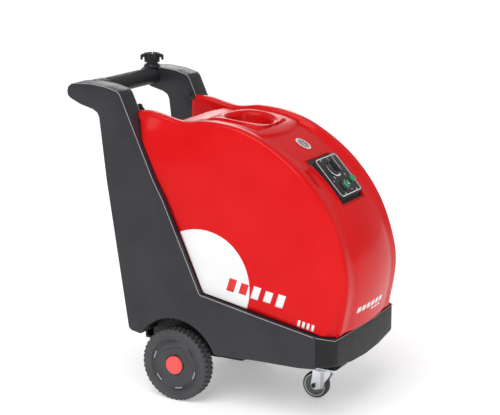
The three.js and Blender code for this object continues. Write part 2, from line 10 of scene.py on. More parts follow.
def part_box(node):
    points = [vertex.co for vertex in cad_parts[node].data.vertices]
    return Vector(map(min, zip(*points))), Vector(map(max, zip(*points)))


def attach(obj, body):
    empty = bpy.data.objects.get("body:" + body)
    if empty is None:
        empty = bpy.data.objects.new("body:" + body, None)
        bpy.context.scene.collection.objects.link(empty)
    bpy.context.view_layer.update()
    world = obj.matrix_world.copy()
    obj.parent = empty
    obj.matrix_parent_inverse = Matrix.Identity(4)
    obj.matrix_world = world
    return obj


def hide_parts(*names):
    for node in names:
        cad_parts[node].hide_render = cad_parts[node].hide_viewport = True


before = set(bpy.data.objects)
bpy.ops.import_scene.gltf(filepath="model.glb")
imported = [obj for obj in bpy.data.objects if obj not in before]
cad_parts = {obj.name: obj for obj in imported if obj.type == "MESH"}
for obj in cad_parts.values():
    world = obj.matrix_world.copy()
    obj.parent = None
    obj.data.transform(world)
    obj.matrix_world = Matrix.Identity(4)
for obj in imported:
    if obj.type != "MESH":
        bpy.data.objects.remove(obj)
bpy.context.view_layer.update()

# ---- driving sizes, in millimetres ------------------------------------------------------------
# Pieces are drawn with the rear axle 83 mm behind the drawing's zero and moved to the frame's
# place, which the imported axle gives.
AXLE_X = -83.0
axle_low, axle_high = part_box("rear_axle")
SHIFT = (axle_low[0] + axle_high[0]) * 500.0 - AXLE_X
tyre_low, tyre_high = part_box("right_tyre")
WHEEL_R = (tyre_high[2] - tyre_low[2]) * 500.0
WHEEL_IN = -tyre_high[1] * 1000.0
WHEEL_OUT = -tyre_low[1] * 1000.0
frame_low, frame_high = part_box("left_side_frame")
FRAME_IN = frame_low[1] * 1000.0
FRAME_OUT = frame_high[1] * 1000.0

HOOD_RIM = 172.0
HOOD_FOOT = 205.0
HOOD_WALL = 0.005
TAIL_X = -110.0
SHOULDER = 12.0
WELL = {"x": 40.0, "r": 72.0, "tilt": math.radians(8.0)}
PANEL = {"x": 326.5, "z": 669.5, "tilt": math.radians(47.3), "half": 67.0}
HOLE = {"up": 80.0, "down": 86.0, "side": 76.0}
BAR = {"x": -385.0, "z": 880.0, "r": 25.5}
FILLER = {"x": -389.0, "y": 160.0, "base": 906.5}
CASTER = {"x": 293.0, "trail": 28.0, "r": 40.0, "top": 105.0}

SIDES = (("right", -1), ("left", 1))


def place(point):
    """Drawing millimetres to the frame's metres."""
    return ((point[0] + SHIFT) / 1000.0, point[1] / 1000.0, point[2] / 1000.0)


# ---- materials --------------------------------------------------------------------------------
def link(tree, source, out, target, into):
    tree.links.new(source.outputs[out], target.inputs[into])


def add_node(tree, kind, settings, source=None, out="Object", into="Vector"):
    """New shader node with constants on its sockets, fed by one output of another node."""
    made = tree.nodes.new("ShaderNode" + kind)
    if kind == "Mix":
        made.data_type = "RGBA"
    for socket, value in settings.items():
        made.inputs[socket].default_value = value
    if source is not None:
        link(tree, source, out, made, into)
    return made


def bumped(tree, height, strength, distance):
    bump = add_node(tree, "Bump", {"Strength": strength, "Distance": distance}, height, "Fac", "Height")
    link(tree, bump, "Normal", tree.nodes["Principled BSDF"], "Normal")


def surface(name, color, rough, metallic=0.0, mottle=0.12, grain=(900.0, 0.05), rough_swing=0.08,
            coat=0.0, scuff=0.0, specular=0.5):
    """Principled finish with colour mottling, uneven roughness, fine grain and rubbed patches."""
    mat = bpy.data.materials.new(name)
    mat.use_nodes = True
    tree = mat.node_tree
    shader = tree.nodes["Principled BSDF"]
    shader.inputs["Metallic"].default_value = metallic
    shader.inputs["Coat Weight"].default_value = coat
    shader.inputs["Specular IOR Level"].default_value = specular
    coords = add_node(tree, "TexCoord", {})
    cloud = add_node(tree, "TexNoise", {"Scale": 9.0, "Detail": 5.0}, coords)
    ramp = add_node(tree, "ValToRGB", {}, cloud, "Fac", "Fac")
    dark, light = ramp.color_ramp.elements
    dark.position = 0.3
    dark.color = (*[c * (1.0 - mottle) for c in color], 1.0)
    light.position = 0.7
    light.color = (*[min(1.0, c * (1.0 + mottle) + 0.004) for c in color], 1.0)
    link(tree, ramp, "Color", shader, "Base Color")
    if scuff > 0.0:
        rub = add_node(tree, "TexNoise", {"Scale": 46.0, "Detail": 8.0}, coords)
        worn = (*[min(1.0, c * 1.7 + 0.02) for c in color], 1.0)
        mixed_in(tree, rub, "Fac", {"From Min": 0.6, "From Max": 0.8, "To Max": scuff}, worn)
    haze = add_node(tree, "TexNoise", {"Scale": 30.0, "Detail": 4.0}, coords)
    span = {"To Min": max(0.02, rough - rough_swing), "To Max": min(1.0, rough + rough_swing)}
    swing = add_node(tree, "MapRange", span, haze, "Fac", "Value")
    link(tree, swing, "Result", shader, "Roughness")
    scale, strength = grain
    if strength > 0.0:
        bumped(tree, add_node(tree, "TexNoise", {"Scale": scale, "Detail": 2.0}, coords), strength,
               0.0006)
    return mat


def mixed_in(tree, pattern, out, span, color):
    """Lay a colour over the base colour where the pattern's value falls in a span."""
    base = tree.nodes["Principled BSDF"].inputs["Base Color"]
    under = base.links[0].from_socket
    pick = add_node(tree, "MapRange", span, pattern, out, "Value")
    mix = add_node(tree, "Mix", {"B": color}, pick, "Result", "Factor")
    tree.links.new(under, mix.inputs["A"])
    tree.links.new(mix.outputs["Result"], base)


def object_coords(tree):
    return next(found for found in tree.nodes if found.type == "TEX_COORD")


def brushed(name, color, rough):
    """Metal with fine lines along one direction."""
    mat = surface(name, color, rough, metallic=1.0, mottle=0.1, grain=(0.0, 0.0))
    tree = mat.node_tree
    stretch = add_node(tree, "Mapping", {"Scale": (4.0, 260.0, 260.0)}, object_coords(tree))
    lines = add_node(tree, "TexNoise", {"Scale": 3.0, "Detail": 6.0}, stretch, "Vector")
    bumped(tree, lines, 0.12, 0.0004)
    return mat


def speckled(name, color, fleck, rough):
    """Dark plate with a fine pale speckle."""
    mat = surface(name, color, rough, mottle=0.1, grain=(1500.0, 0.08))
    tree = mat.node_tree
    cells = add_node(tree, "TexVoronoi", {"Scale": 520.0}, object_coords(tree))
    mixed_in(tree, cells, "Distance", {"From Min": 0.3, "From Max": 0.12}, (*fleck, 1.0))
    return mat


def glowing(mat, color, strength):
    shader = mat.node_tree.nodes["Principled BSDF"]
    shader.inputs["Emission Color"].default_value = (*color, 1.0)
    shader.inputs["Emission Strength"].default_value = strength
    return mat


RED = surface("hood_gloss_red", (0.67, 0.0045, 0.006), 0.2, mottle=0.03, grain=(240.0, 0.012),
              rough_swing=0.03, specular=0.14)
BLACK = surface("moulded_black", (0.026, 0.0255, 0.031), 0.33, mottle=0.1, grain=(1300.0, 0.22),
                scuff=0.12, specular=0.3)
# Darker black for the wheel arches, the tray, the panel pocket and the caster axle: painted shade in those
# recesses.
SHADE_BLACK = surface("painted_shade_black", (0.011, 0.011, 0.012), 0.6, grain=(1300.0, 0.2))
GRIP = surface("grip_black", (0.034, 0.034, 0.038), 0.45, grain=(1700.0, 0.2), scuff=0.12, specular=0.15)
TYRE = surface("tyre_rubber", (0.05, 0.049, 0.054), 0.6, mottle=0.12, grain=(700.0, 0.25),
               scuff=0.15)
DISC = surface("wheel_grey", (0.036, 0.034, 0.039), 0.36, mottle=0.06, grain=(1300.0, 0.12), scuff=0.1)
CAP_RED = surface("cap_red", (0.86, 0.09, 0.08), 0.42, mottle=0.05, grain=(900.0, 0.08))
ZINC = surface("bright_zinc", (0.72, 0.74, 0.77), 0.3, metallic=1.0, mottle=0.14, grain=(160.0, 0.1))
STEEL = brushed("satin_steel", (0.5, 0.51, 0.53), 0.34)
BRASS = surface("brass", (0.62, 0.43, 0.16), 0.3, metallic=1.0, mottle=0.12, grain=(500.0, 0.08))
CAST = surface("cast_aluminium", (0.56, 0.57, 0.59), 0.46, metallic=0.9, grain=(600.0, 0.35))
MOTOR = surface("motor_paint", (0.045, 0.07, 0.11), 0.4, grain=(500.0, 0.15), scuff=0.2)
PLATE = speckled("panel_speckle", (0.016, 0.016, 0.018), (0.09, 0.09, 0.1), 0.42)
KNOB = surface("knob_black", (0.02, 0.02, 0.023), 0.3, grain=(1200.0, 0.1))
WHITE = surface("print_white", (0.86, 0.86, 0.86), 0.4, mottle=0.03, grain=(800.0, 0.03))
PRINT_RED = surface("print_red", (0.74, 0.012, 0.014), 0.35, mottle=0.03, grain=(800.0, 0.03))
HUB = surface("caster_hub_grey", (0.11, 0.14, 0.125), 0.4, mottle=0.1, grain=(700.0, 0.15))
SEAM = surface("caster_ring_grey", (0.55, 0.57, 0.57), 0.3, mottle=0.06, grain=(700.0, 0.05))
RUBBER = surface("caster_rubber", (0.014, 0.014, 0.015), 0.5, grain=(700.0, 0.3), scuff=0.3)
# Light grey for the edge beads: a painted highlight line along the moulded edges.
EDGE = surface("edge_painted_highlight", (0.3, 0.3, 0.32), 0.24, mottle=0.05, grain=(700.0, 0.05), specular=0.8)
# Darker, less glossy copy of the moulded black for the bumper: painted shade on its front.
BUMPER = surface("bumper_black_painted_shade", (0.02, 0.0197, 0.021), 0.42, mottle=0.1, grain=(1300.0, 0.2),
                 specular=0.12)
# Light grey for four of the disc ridges: painted glints on the wheel disc.
GLINT = surface("wheel_ridge_painted_glint", (0.3, 0.3, 0.31), 0.2, mottle=0.05, grain=(700.0, 0.02), specular=0.9)
TANK = surface("tank_white", (0.78, 0.77, 0.72), 0.42, mottle=0.05, grain=(500.0, 0.1))
SILVER = surface("badge_silver", (0.7, 0.71, 0.73), 0.25, metallic=1.0, grain=(900.0, 0.04))


LENS_GREEN = (0.0, 0.2, 0.075)
GREEN = glowing(surface("lens_green", LENS_GREEN, 0.12, mottle=0.15, grain=(700.0, 0.05), coat=0.5),
                LENS_GREEN, 0.35)


# ---- mesh helpers -----------------------------------------------------------------------------
def piece(name, verts, faces, mat, body, stands_for=(), sharp=35.0):
    """New object from drawing millimetres, riding on a body."""
    mesh = bpy.data.meshes.new(name)
    mesh.from_pydata([place(v) for v in verts], [], [tuple(int(i) for i in f) for f in faces])
    mesh.validate()
    work = bmesh.new()
    work.from_mesh(mesh)
    bmesh.ops.remove_doubles(work, verts=work.verts, dist=1e-6)
    bmesh.ops.recalc_face_normals(work, faces=work.faces)
    work.to_mesh(mesh)
    work.free()
    return dressed(name, mesh, mat, body, stands_for, sharp)


def dressed(name, mesh, mat, body, stands_for=(), sharp=35.0):
    """Object for a mesh, with its finish, body and the nodes that it stands for."""
    mesh.shade_smooth()
    mesh.set_sharp_from_angle(angle=math.radians(sharp))
    mesh.materials.append(mat)
    obj = bpy.data.objects.new(name, mesh)
    bpy.context.collection.objects.link(obj)
    if stands_for:
        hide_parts(*stands_for)
    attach(obj, body)
    return obj


def grid_faces(rows, columns, closed=False, looped=False, skip=lambda i, j: False):
    """Quads of a grid. Closed joins the last column to the first, and looped the last row."""
    faces = []
    for i in range(rows if looped else rows - 1):
        here, after = i * columns, (i + 1) % rows * columns
        for j in range(columns if closed else columns - 1):
            if not skip(i, j):
                k = (j + 1) % columns
                faces.append((here + j, after + j, after + k, here + k))
    return faces


def lathe(profile, segments, axis="y", at=(0, 0, 0), closed=False):
    """Verts and faces of a body of revolution from (radius, distance) points."""
    verts = []
    for r, along in profile:
        for k in range(segments):
            a = 2.0 * math.pi * k / segments
            c, s = r * math.cos(a), r * math.sin(a)
            turned = {"y": (c, along, s), "z": (c, s, along), "x": (along, c, s)}[axis]
            verts.append(tuple(t + o for t, o in zip(turned, at)))
    faces = grid_faces(len(profile), segments, closed=True, looped=closed)
    if not closed:
        for row, (r, _) in ((0, profile[0]), (len(profile) - 1, profile[-1])):
            if r > 1e-6:
                ring = [row * segments + k for k in range(segments)]
                faces.append(tuple(ring if row else reversed(ring)))
    return verts, faces


def turned(name, profile, segments, axis, at, mat, body, stands_for=(), sharp=35.0, closed=False):
    """Piece turned about an axis through a point."""
    verts, faces = lathe(profile, segments, axis, at, closed)
    return piece(name, verts, faces, mat, body, stands_for, sharp)


def mirrored(half):
    """Profile whose second half mirrors its first."""
    return half + [(r, -along) for r, along in reversed(half)]


def arc(cx, cy, r, start, end, steps):
    """Points on an arc, angles in degrees."""
    return [(cx + r * math.cos(math.radians(start + (end - start) * k / steps)),
             cy + r * math.sin(math.radians(start + (end - start) * k / steps)))
            for k in range(steps + 1)]


def filleted(corners, steps=6):
    """Closed outline from (x, y, radius) corners, each rounded by its radius."""
    points = []
    count = len(corners)
    for k, (x, y, r) in enumerate(corners):
        here = np.array([x, y])
        before = np.array(corners[k - 1][:2]) - here
        after = np.array(corners[(k + 1) % count][:2]) - here
        if r <= 0.0:
            points.append((x, y))
            continue
        room = 0.48 * min(np.linalg.norm(before), np.linalg.norm(after))
        before = before / np.linalg.norm(before)
        after = after / np.linalg.norm(after)
        half = math.acos(max(-1, min(1, float(before @ after)))) / 2.0
        reach = min(r / math.tan(half), room)
        first, last = here + before * reach, here + after * reach
        for n in range(steps + 1):
            t = n / steps
            spot = first * (1 - t) ** 2 + here * 2 * t * (1 - t) + last * t ** 2
            points.append((float(spot[0]), float(spot[1])))
    return points


def rectangle(x, y, radius, steps):
    """Rounded rectangle between two values on each axis."""
    return filleted([(x[0], y[0], radius), (x[1], y[0], radius), (x[1], y[1], radius),
                     (x[0], y[1], radius)], steps)


def slab(name, outline, low, high, plane, mat, body, edge=2.0, stands_for=(), moved=None, segments=3,
         sharp=35.0):
    """Prism from an outline in one plane, with its edges rounded."""
    low, high = sorted((low, high))

    def spot(a, b, depth):
        return {"xz": (a, depth, b), "xy": (a, b, depth), "yz": (depth, a, b)}[plane]

    mesh = bpy.data.meshes.new(name)
    work = bmesh.new()
    lower = [work.verts.new(spot(a, b, low)) for a, b in outline]
    upper = [work.verts.new(spot(a, b, high)) for a, b in outline]
    work.faces.new(lower)
    work.faces.new(upper[::-1])
    count = len(outline)
    for k in range(count):
        n = (k + 1) % count
        work.faces.new((lower[k], upper[k], upper[n], lower[n]))
    bmesh.ops.recalc_face_normals(work, faces=work.faces)
    if edge > 0.0:
        rims = [e for e in work.edges if (e.verts[0] in lower) == (e.verts[1] in lower)]
        bmesh.ops.bevel(work, geom=rims, offset=edge, segments=segments, affect="EDGES",
                        profile=0.5, clamp_overlap=True)
    if moved is not None:
        bmesh.ops.transform(work, matrix=moved, verts=work.verts)
    for vert in work.verts:
        vert.co = place(vert.co)
    work.to_mesh(mesh)
    work.free()
    return dressed(name, mesh, mat, body, stands_for, sharp)


def tube(name, points, radius, mat, body, resolution=3):
    """Round rod along a line of points."""
    curve = bpy.data.curves.new(name, "CURVE")
    curve.dimensions = "3D"
    curve.bevel_depth = radius / 1000.0
    curve.bevel_resolution = resolution
    curve.use_fill_caps = True
    spline = curve.splines.new("POLY")
    spline.points.add(len(points) - 1)
    for target, source in zip(spline.points, points):
        target.co = (*place(source), 1)
    curve.materials.append(mat)
    obj = bpy.data.objects.new(name, curve)
    bpy.context.collection.objects.link(obj)
    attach(obj, body)
    return obj


def smooth_path(points, steps=10):
    """Catmull-Rom line through the points."""
    points = [np.array(p, float) for p in points]
    points = [2 * points[0] - points[1], *points, 2 * points[-1] - points[-2]]
    line = []
    for a, b, c, d in zip(points, points[1:], points[2:], points[3:]):
        for k in range(steps):
            t = k / steps
            line.append(0.5 * (2 * b + (c - a) * t + (2 * a - 5 * b + 4 * c - d) * t * t
                               + (3 * b - a - 3 * c + d) * t ** 3))
    line.append(points[-2])
    return line


def run_lengths(points):
    """Distance along a line of points up to each of them."""
    return np.concatenate([[0], np.cumsum(np.linalg.norm(np.diff(points, axis=0), axis=1))])


def along_line(points, lengths, distance):
    return np.array([np.interp(distance, lengths, points[:, 0]),
                     np.interp(distance, lengths, points[:, 1])])


def last_true(test, low, high):
    """Value up to which a test holds, found by halving."""
    for _ in range(40):
        middle = (low + high) / 2.0
        if test(middle):
            low = middle
        else:
            high = middle
    return low


# ---- hood surface -----------------------------------------------------------------------------
# Side view: the crest runs from the tail over the top to the front, the foot along the frames.
CREST = np.array(smooth_path([
    (-228.5, 831), (-180, 830), (-85, 811), (0, 818), (100, 805), (200, 763), (300, 690),
    (378, 592), (424, 480), (437, 385), (416.5, 255.5),
], 24))
crest_arc = run_lengths(CREST)
CREST_LONG = float(crest_arc[-1])
FOOT = np.array([
    (-220.5, 813), (-146.6, 648), (-115.6, 593), (4, 332), (197, 293.8), (362, 263.8), (417, 254),
])
foot_arc = run_lengths(FOOT)
CORNER_SHARE = foot_arc[3] / foot_arc[-1]
EDGE_Y = 136.0
RIM_Y = 147.0
# The step across the channel bows back from its middle to its ends.
STEP = {"x": 163, "bow": 29}
PLATEAU_DROP = 9.0
FRONT = {"drop": 14, "rise": 13, "crown": 8.5, "over": 460}


def on_crest(s):
    return along_line(CREST, crest_arc, s)


def crest_direction(s):
    step = 3.0
    ahead, behind = on_crest(min(s + step, CREST_LONG)), on_crest(max(s - step, 0))
    return (ahead - behind) / np.linalg.norm(ahead - behind)


def facing(share):
    """Share of the foot line that a share of the crest faces."""
    return share + 0.12 * math.sin(math.pi * share)


def on_foot(share):
    return along_line(FOOT, foot_arc, min(share, 1) * foot_arc[-1])


def ease(t):
    t = min(1, max(0, t))
    return t * t * (3.0 - 2.0 * t)


def arc_at_x(x):
    """Distance along the crest, on its top, where it reaches x."""
    top = CREST[:, 0].argmax()
    return float(np.interp(x, CREST[:top, 0], crest_arc[:top]))


def channel_lift(s, y):
    """Height of the channel over the crest line: plateau, crescent step, crowned front."""
    share = 1.0 - min(1, y / EDGE_Y) ** 2
    step_s = arc_at_x(STEP["x"] - STEP["bow"] * (y / EDGE_Y) ** 2)
    plateau = -PLATEAU_DROP + 3.0 * share
    rise = ease((s - step_s - 6) / FRONT["over"])
    front = 1.5 * share - FRONT["drop"] + rise * (FRONT["rise"] + FRONT["crown"] * share)
    return plateau + (front - plateau) * ease((s - step_s + 5) / 10)


def edge_width(s):
    """Width of the channel's edge: crisp beside the plateau, softer down the front."""
    return 10.0 + 38.0 * ease((s - arc_at_x(STEP["x"] - STEP["bow"])) / 150)


def hood_point(s, y, flank=0.0):
    """Outer surface of the hood at a distance along the crest and across it."""
    top = on_crest(s)
    along = crest_direction(s)
    up = np.array([-along[1], along[0]])
    side = abs(y)
    if flank > 0.0:
        edge = top - up * SHOULDER
        foot = on_foot(facing(s / CREST_LONG))
        drop = float(np.linalg.norm(foot - top))
        spread = (HOOD_FOOT - HOOD_RIM) * ease((drop - 4) / 86)
        spot = edge + (foot - edge) * flank
        width = HOOD_RIM + spread * (flank + 0.16 * math.sin(math.pi * flank))
        return (spot[0], math.copysign(width, y), spot[1])
    if side <= RIM_Y:
        width = edge_width(s)
        lift = channel_lift(s, side) * (1.0 - ease((side - RIM_Y + width) / width))
    elif side <= HOOD_RIM - SHOULDER:
        lift = 0.0
    else:
        over = side - (HOOD_RIM - SHOULDER)
        lift = math.sqrt(max(0, SHOULDER ** 2 - over ** 2)) - SHOULDER
    spot = top + up * lift
    return (spot[0], y, spot[1])


def panel_x(point):
    """Distance down the panel's slope."""
    c, s = math.cos(PANEL["tilt"]), math.sin(PANEL["tilt"])
    return (point[0] - PANEL["x"]) * c - (point[2] - PANEL["z"]) * s


def arc_at_panel(distance):
    """Distance along the crest that lies this far down the panel's slope."""
    return last_true(lambda s: panel_x(hood_point(s, 0)) < distance, arc_at_x(230), CREST_LONG - 200)


def spaced(marks, steps):
    """Values through the marks, with each gap cut into steps of about the given size."""
    values = [marks[0]]
    for (a, b), step in zip(zip(marks, marks[1:]), steps):
        count = max(1, round((b - a) / step))
        values.extend(a + (b - a) * (k + 1) / count for k in range(count))
    return values


tail_s = arc_at_x(TAIL_X)
well_from, well_to = arc_at_x(WELL["x"] - 92), arc_at_x(WELL["x"] + 84)
hole_from, hole_to = arc_at_panel(-HOLE["up"]), arc_at_panel(HOLE["down"])
corner_s = last_true(lambda share: facing(share) < CORNER_SHARE, 0, 1) * CREST_LONG

ROWS = spaced(sorted([0, tail_s, well_from, well_to, arc_at_x(180), corner_s, hole_from, hole_to,
                      CREST_LONG]), [8, 7, 8, 2.8, 7, 7, 7, 7])
WELL_HALF = 90.0
HALF_COLUMNS = spaced(
    [0, HOLE["side"], WELL_HALF, EDGE_Y, RIM_Y, HOOD_RIM - SHOULDER],
    [9.5, 7, 5.8, 1.4, 4.4],
)
HALF_COLUMNS += [HOOD_RIM - SHOULDER + SHOULDER * math.sin(math.radians(a)) for a in (18, 36, 54, 72, 90)]
FLANKS = [0.012, 0.035, 0.08, 0.15, 0.25, 0.37, 0.5, 0.63, 0.76, 0.88, 0.96, 1]
HALF = [(y, 0) for y in HALF_COLUMNS] + [(HOOD_RIM, f) for f in FLANKS]
COLUMNS = [(-y, f) for y, f in HALF[:0:-1]] + HALF


def index_of(values, target):
    return int(np.argmin([abs(v - target) for v in values]))


def hood_skin():
    rows, columns = len(ROWS), len(COLUMNS)
    verts = [hood_point(s, y, f) for s in ROWS for y, f in COLUMNS]
    grid = np.array(verts).reshape(rows, columns, 3)
    ys = [y if f == 0.0 else math.copysign(400, y) for y, f in COLUMNS]
    tail = index_of(ROWS, tail_s)
    well_rows = (index_of(ROWS, well_from), index_of(ROWS, well_to))
    well_columns = (index_of(ys, -WELL_HALF), index_of(ys, WELL_HALF))
    hole_rows = (index_of(ROWS, hole_from), index_of(ROWS, hole_to))
    hole_columns = (index_of(ys, -HOLE["side"]), index_of(ys, HOLE["side"]))
    ears = (index_of(ys, -EDGE_Y), index_of(ys, EDGE_Y))

    def skip(i, j):
        behind = i < tail and ears[0] <= j < ears[1]
        in_well = well_rows[0] <= i < well_rows[1] and well_columns[0] <= j < well_columns[1]
        in_hole = hole_rows[0] <= i < hole_rows[1] and hole_columns[0] <= j < hole_columns[1]
        return behind or in_well or in_hole

    faces = grid_faces(rows, columns, skip=skip)

    def loop(row_span, column_span):
        (i0, i1), (j0, j1) = row_span, column_span
        ring = [(i0, j) for j in range(j0, j1)]
        ring += [(i, j1) for i in range(i0, i1)]
        ring += [(i1, j) for j in range(j1, j0, -1)]
        ring += [(i, j0) for i in range(i1, i0, -1)]
        return [i * columns + j for i, j in ring]

    def grow(ring, rings_of_points):
        previous = ring
        for points in rings_of_points:
            start = len(verts)
            verts.extend(points)
            fresh = list(range(start, start + len(points)))
            for k in range(len(points)):
                n = (k + 1) % len(points)
                faces.append((previous[k], previous[n], fresh[n], fresh[k]))
            previous = fresh

    # The well: the plateau runs in to a rounded lip, then a wall and a dished floor.
    ring = loop(well_rows, well_columns)
    bounds = [np.array(verts[k]) for k in ring]
    angles = [math.atan2(p[1], p[0] - WELL["x"]) for p in bounds]
    down = np.array([-math.sin(WELL["tilt"]), 0, -math.cos(WELL["tilt"])])
    radius = WELL["r"]

    def on_top(x, y):
        return np.array(hood_point(arc_at_x(x), y))

    fillet = 13.0
    lip = radius + fillet
    rings = []
    for t in (0.3, 0.6, 0.85, 1):
        points = []
        for p, a in zip(bounds, angles):
            x = (1 - t) * p[0] + t * (WELL["x"] + lip * math.cos(a))
            y = (1 - t) * p[1] + t * lip * math.sin(a)
            points.append(tuple(on_top(x, y)))
        rings.append(points)
    floor_at = np.array([WELL["x"], 0, on_top(WELL["x"], 0)[2]])
    dish = [(lip - fillet * math.sin(math.radians(a)), fillet - fillet * math.cos(math.radians(a)), 0)
            for a in (15, 30, 45, 60, 75, 90)]
    dish += [(radius - 0.8, 18, 0.35), (radius - 1.8, 24, 0.7), (radius - 3, 32, 1),
             (radius - 5.5, 38, 1), (radius - 11, 42.5, 1), (radius - 19, 44, 1),
             (48, 45, 1), (46, 46, 1)]
    for r, depth, level in dish:
        points = []
        for a in angles:
            top = on_top(WELL["x"] + r * math.cos(a), r * math.sin(a))
            plane = floor_at + np.array([math.cos(WELL["tilt"]) * r * math.cos(a), r * math.sin(a),
                                         -math.sin(WELL["tilt"]) * r * math.cos(a)])
            points.append(tuple((1 - level) * top + level * plane + down * depth))
        rings.append(points)
    grow(ring, rings)

    # The panel opening: a rounded edge turned inward along the panel's own depth.
    ring = loop(hole_rows, hole_columns)
    inward = np.array([-math.sin(PANEL["tilt"]), 0, -math.cos(PANEL["tilt"])])
    centre = np.mean([verts[k] for k in ring], axis=0)
    rings = []
    for drawn, depth in ((0.5, 0.3), (1.1, 1), (1.3, 2.2), (1.3, 9), (1.3, 17)):
        points = []
        for k in ring:
            p = np.array(verts[k])
            toward = centre - p
            toward -= inward * float(toward @ inward)
            points.append(tuple(p + toward / np.linalg.norm(toward) * drawn + inward * depth))
        rings.append(points)
    grow(ring, rings)

    # Inner walls of the ears, and a turned-down lip across the tail of the channel.
    for column in ears:
        for k in range(5):
            start = len(verts)
            line = []
            for i in range(tail + 1):
                x, y, z = grid[i, column]
                floor = 744.0 - 34.0 * i / max(tail, 1)
                share = (k + 1) / 5.0
                line.append((x - 3.0 * share * (1.0 - i / tail), y + math.copysign(1.5, y) * share,
                             z + (floor - z) * share))
            verts.extend(line)
            above = ([i * columns + column for i in range(tail + 1)] if k == 0
                     else list(range(start - tail - 1, start)))
            below = list(range(start, start + tail + 1))
            for i in range(tail):
                faces.append((above[i], above[i + 1], below[i + 1], below[i]))
    edge = [tail * columns + j for j in range(ears[0], ears[1] + 1)]
    previous = edge
    for back, depth in ((1.5, 0.6), (2.6, 2.4), (3, 8)):
        start = len(verts)
        verts.extend((verts[k][0] - back, verts[k][1], verts[k][2] - depth) for k in edge)
        fresh = list(range(start, start + len(edge)))
        for k in range(len(edge) - 1):
            faces.append((previous[k], previous[k + 1], fresh[k + 1], fresh[k]))
        previous = fresh

    used = sorted({k for face in faces for k in face})
    new_index = {old: new for new, old in enumerate(used)}
    kept = [verts[k] for k in used]
    faces = [tuple(new_index[k] for k in face) for face in faces]
    mesh = bpy.data.meshes.new("hood_skin")
    mesh.from_pydata([place(v) for v in kept], [], faces)
    mesh.validate()
    obj = dressed("hood_skin", mesh, RED, "hood", ("hood_shell",), sharp=48.0)
    # Every face of the grid is wound the same way, so one flip turns them all outward.
    middle = len(mesh.polygons) // 2
    lean = mesh.polygons[middle]
    if lean.normal.dot(lean.center - Vector(place((60, 0, 500)))) < 0.0:
        mesh.flip_normals()
    wall = obj.modifiers.new("wall", "SOLIDIFY")
    wall.thickness = HOOD_WALL
    wall.offset = -1.0
    wall.use_even_offset = False
    return obj


hood = hood_skin()
HOOD_TREE = BVHTree.FromPolygons([v.co.copy() for v in hood.data.vertices],
                                 [tuple(p.vertices) for p in hood.data.polygons])
PRINT_LIFT = 0.00025


def coated(name, verts, faces, mat, outward, thickness):
    """Thin coat of print on points that already lie just off the hood."""
    mesh = bpy.data.meshes.new(name)
    mesh.from_pydata(verts, [], faces)
    obj = dressed(name, mesh, mat, "hood", sharp=60.0)
    if mesh.polygons[0].normal.dot(outward) < 0.0:
        mesh.flip_normals()
    coat = obj.modifiers.new("film", "SOLIDIFY")
    coat.thickness = thickness
    coat.offset = -1.0


def printed(name, flat, faces, side, mat, lift=PRINT_LIFT):
    """Print on a flank: flat points (x, z) are cast on the hood from the side."""
    outward = Vector((0, side, 0))
    verts = []
    for x, z in flat:
        hit = HOOD_TREE.ray_cast(Vector(place((x, side * 400, z))), -outward)[0]
        if hit is None:
            hit = HOOD_TREE.find_nearest(Vector(place((x, side * HOOD_FOOT, z))))[0]
        verts.append(hit + outward * lift)
    coated(name, verts, faces, mat, outward, 0.0002)


def printed_quad(name, corners, side, mat, cells, lift=PRINT_LIFT):
    """Four-cornered print, divided so that it follows the flank."""
    a, b, c, d = [np.array(p, float) for p in corners]
    flat = []
    for i in range(cells[0] + 1):
        for j in range(cells[1] + 1):
            u, v = i / cells[0], j / cells[1]
            spot = (1 - u) * (1 - v) * a + u * (1 - v) * b + u * v * c + (1 - u) * v * d
            flat.append(tuple(spot))
    printed(name, flat, grid_faces(cells[0] + 1, cells[1] + 1), side, mat, lift)


# White sector print on each flank, cut off by the post and the skirt, with slanted bars on it.
SECTOR = {"x": -7, "z": 355, "r": 160}
SECTOR_CORNER = (5, 333)


def sector_print(side_name, side):
    start, end = math.radians(-11.2), math.radians(114.2)
    rays, rings = 72, 24
    px, pz = SECTOR_CORNER
    flat = []
    near = 0.6
    for k in range(rays + 1):
        angle = start + (end - start) * k / rays
        dx, dz = math.cos(angle), math.sin(angle)
        # Where the ray from the corner meets the circle.
        along = (SECTOR["x"] - px) * dx + (SECTOR["z"] - pz) * dz
        apart = (SECTOR["x"] - px) ** 2 + (SECTOR["z"] - pz) ** 2 - SECTOR["r"] ** 2
        reach = along + math.sqrt(along * along - apart)
        for n in range(rings + 1):
            r = near + (reach - near) * n / rings
            flat.append((px + r * dx, pz + r * dz))
    printed(f"{side_name}_flank_disc", flat, grid_faces(rays + 1, rings + 1), side, WHITE)


def slanted_bars(side_name, side):
    """Row of slanted bars that changes colour where it leaves the white print."""
    tall, lean, wide, pitch, fall = 36, 11, 23, 38.5, 0.165
    first = 79.0
    for k in range(5):
        x = first + k * pitch
        z = 351.0 - (x - first) * fall
        on_white = math.hypot(x + wide / 2 - SECTOR["x"], z + tall / 2 - SECTOR["z"]) < SECTOR["r"] - 8
        height = tall * (1, 0.86, 1, 0.86, 1)[k]
        base = z + (tall - height) / 2
        shift = lean * (tall - height) / 2 / tall
        corners = [(x + shift, base), (x + wide + shift, base - wide * fall),
                   (x + wide + shift + lean * height / tall, base + height - wide * fall),
                   (x + shift + lean * height / tall, base + height)]
        printed_quad(f"{side_name}_bar_{k + 1}", corners, side, PRINT_RED if on_white else WHITE,
                     cells=(4, 6), lift=2.4 * PRINT_LIFT)
    for k in range(4):
        x, z = 303.0 + k * 14, 279.5 - k * 2.5
        corners = [(x, z), (x + 8, z - 1.5), (x + 11, z + 16), (x + 3, z + 17.5)]
        printed_quad(f"{side_name}_mark_{k + 1}", corners, side, WHITE, cells=(2, 4))


for side_name, side in SIDES:
    sector_print(side_name, side)
    slanted_bars(side_name, side)


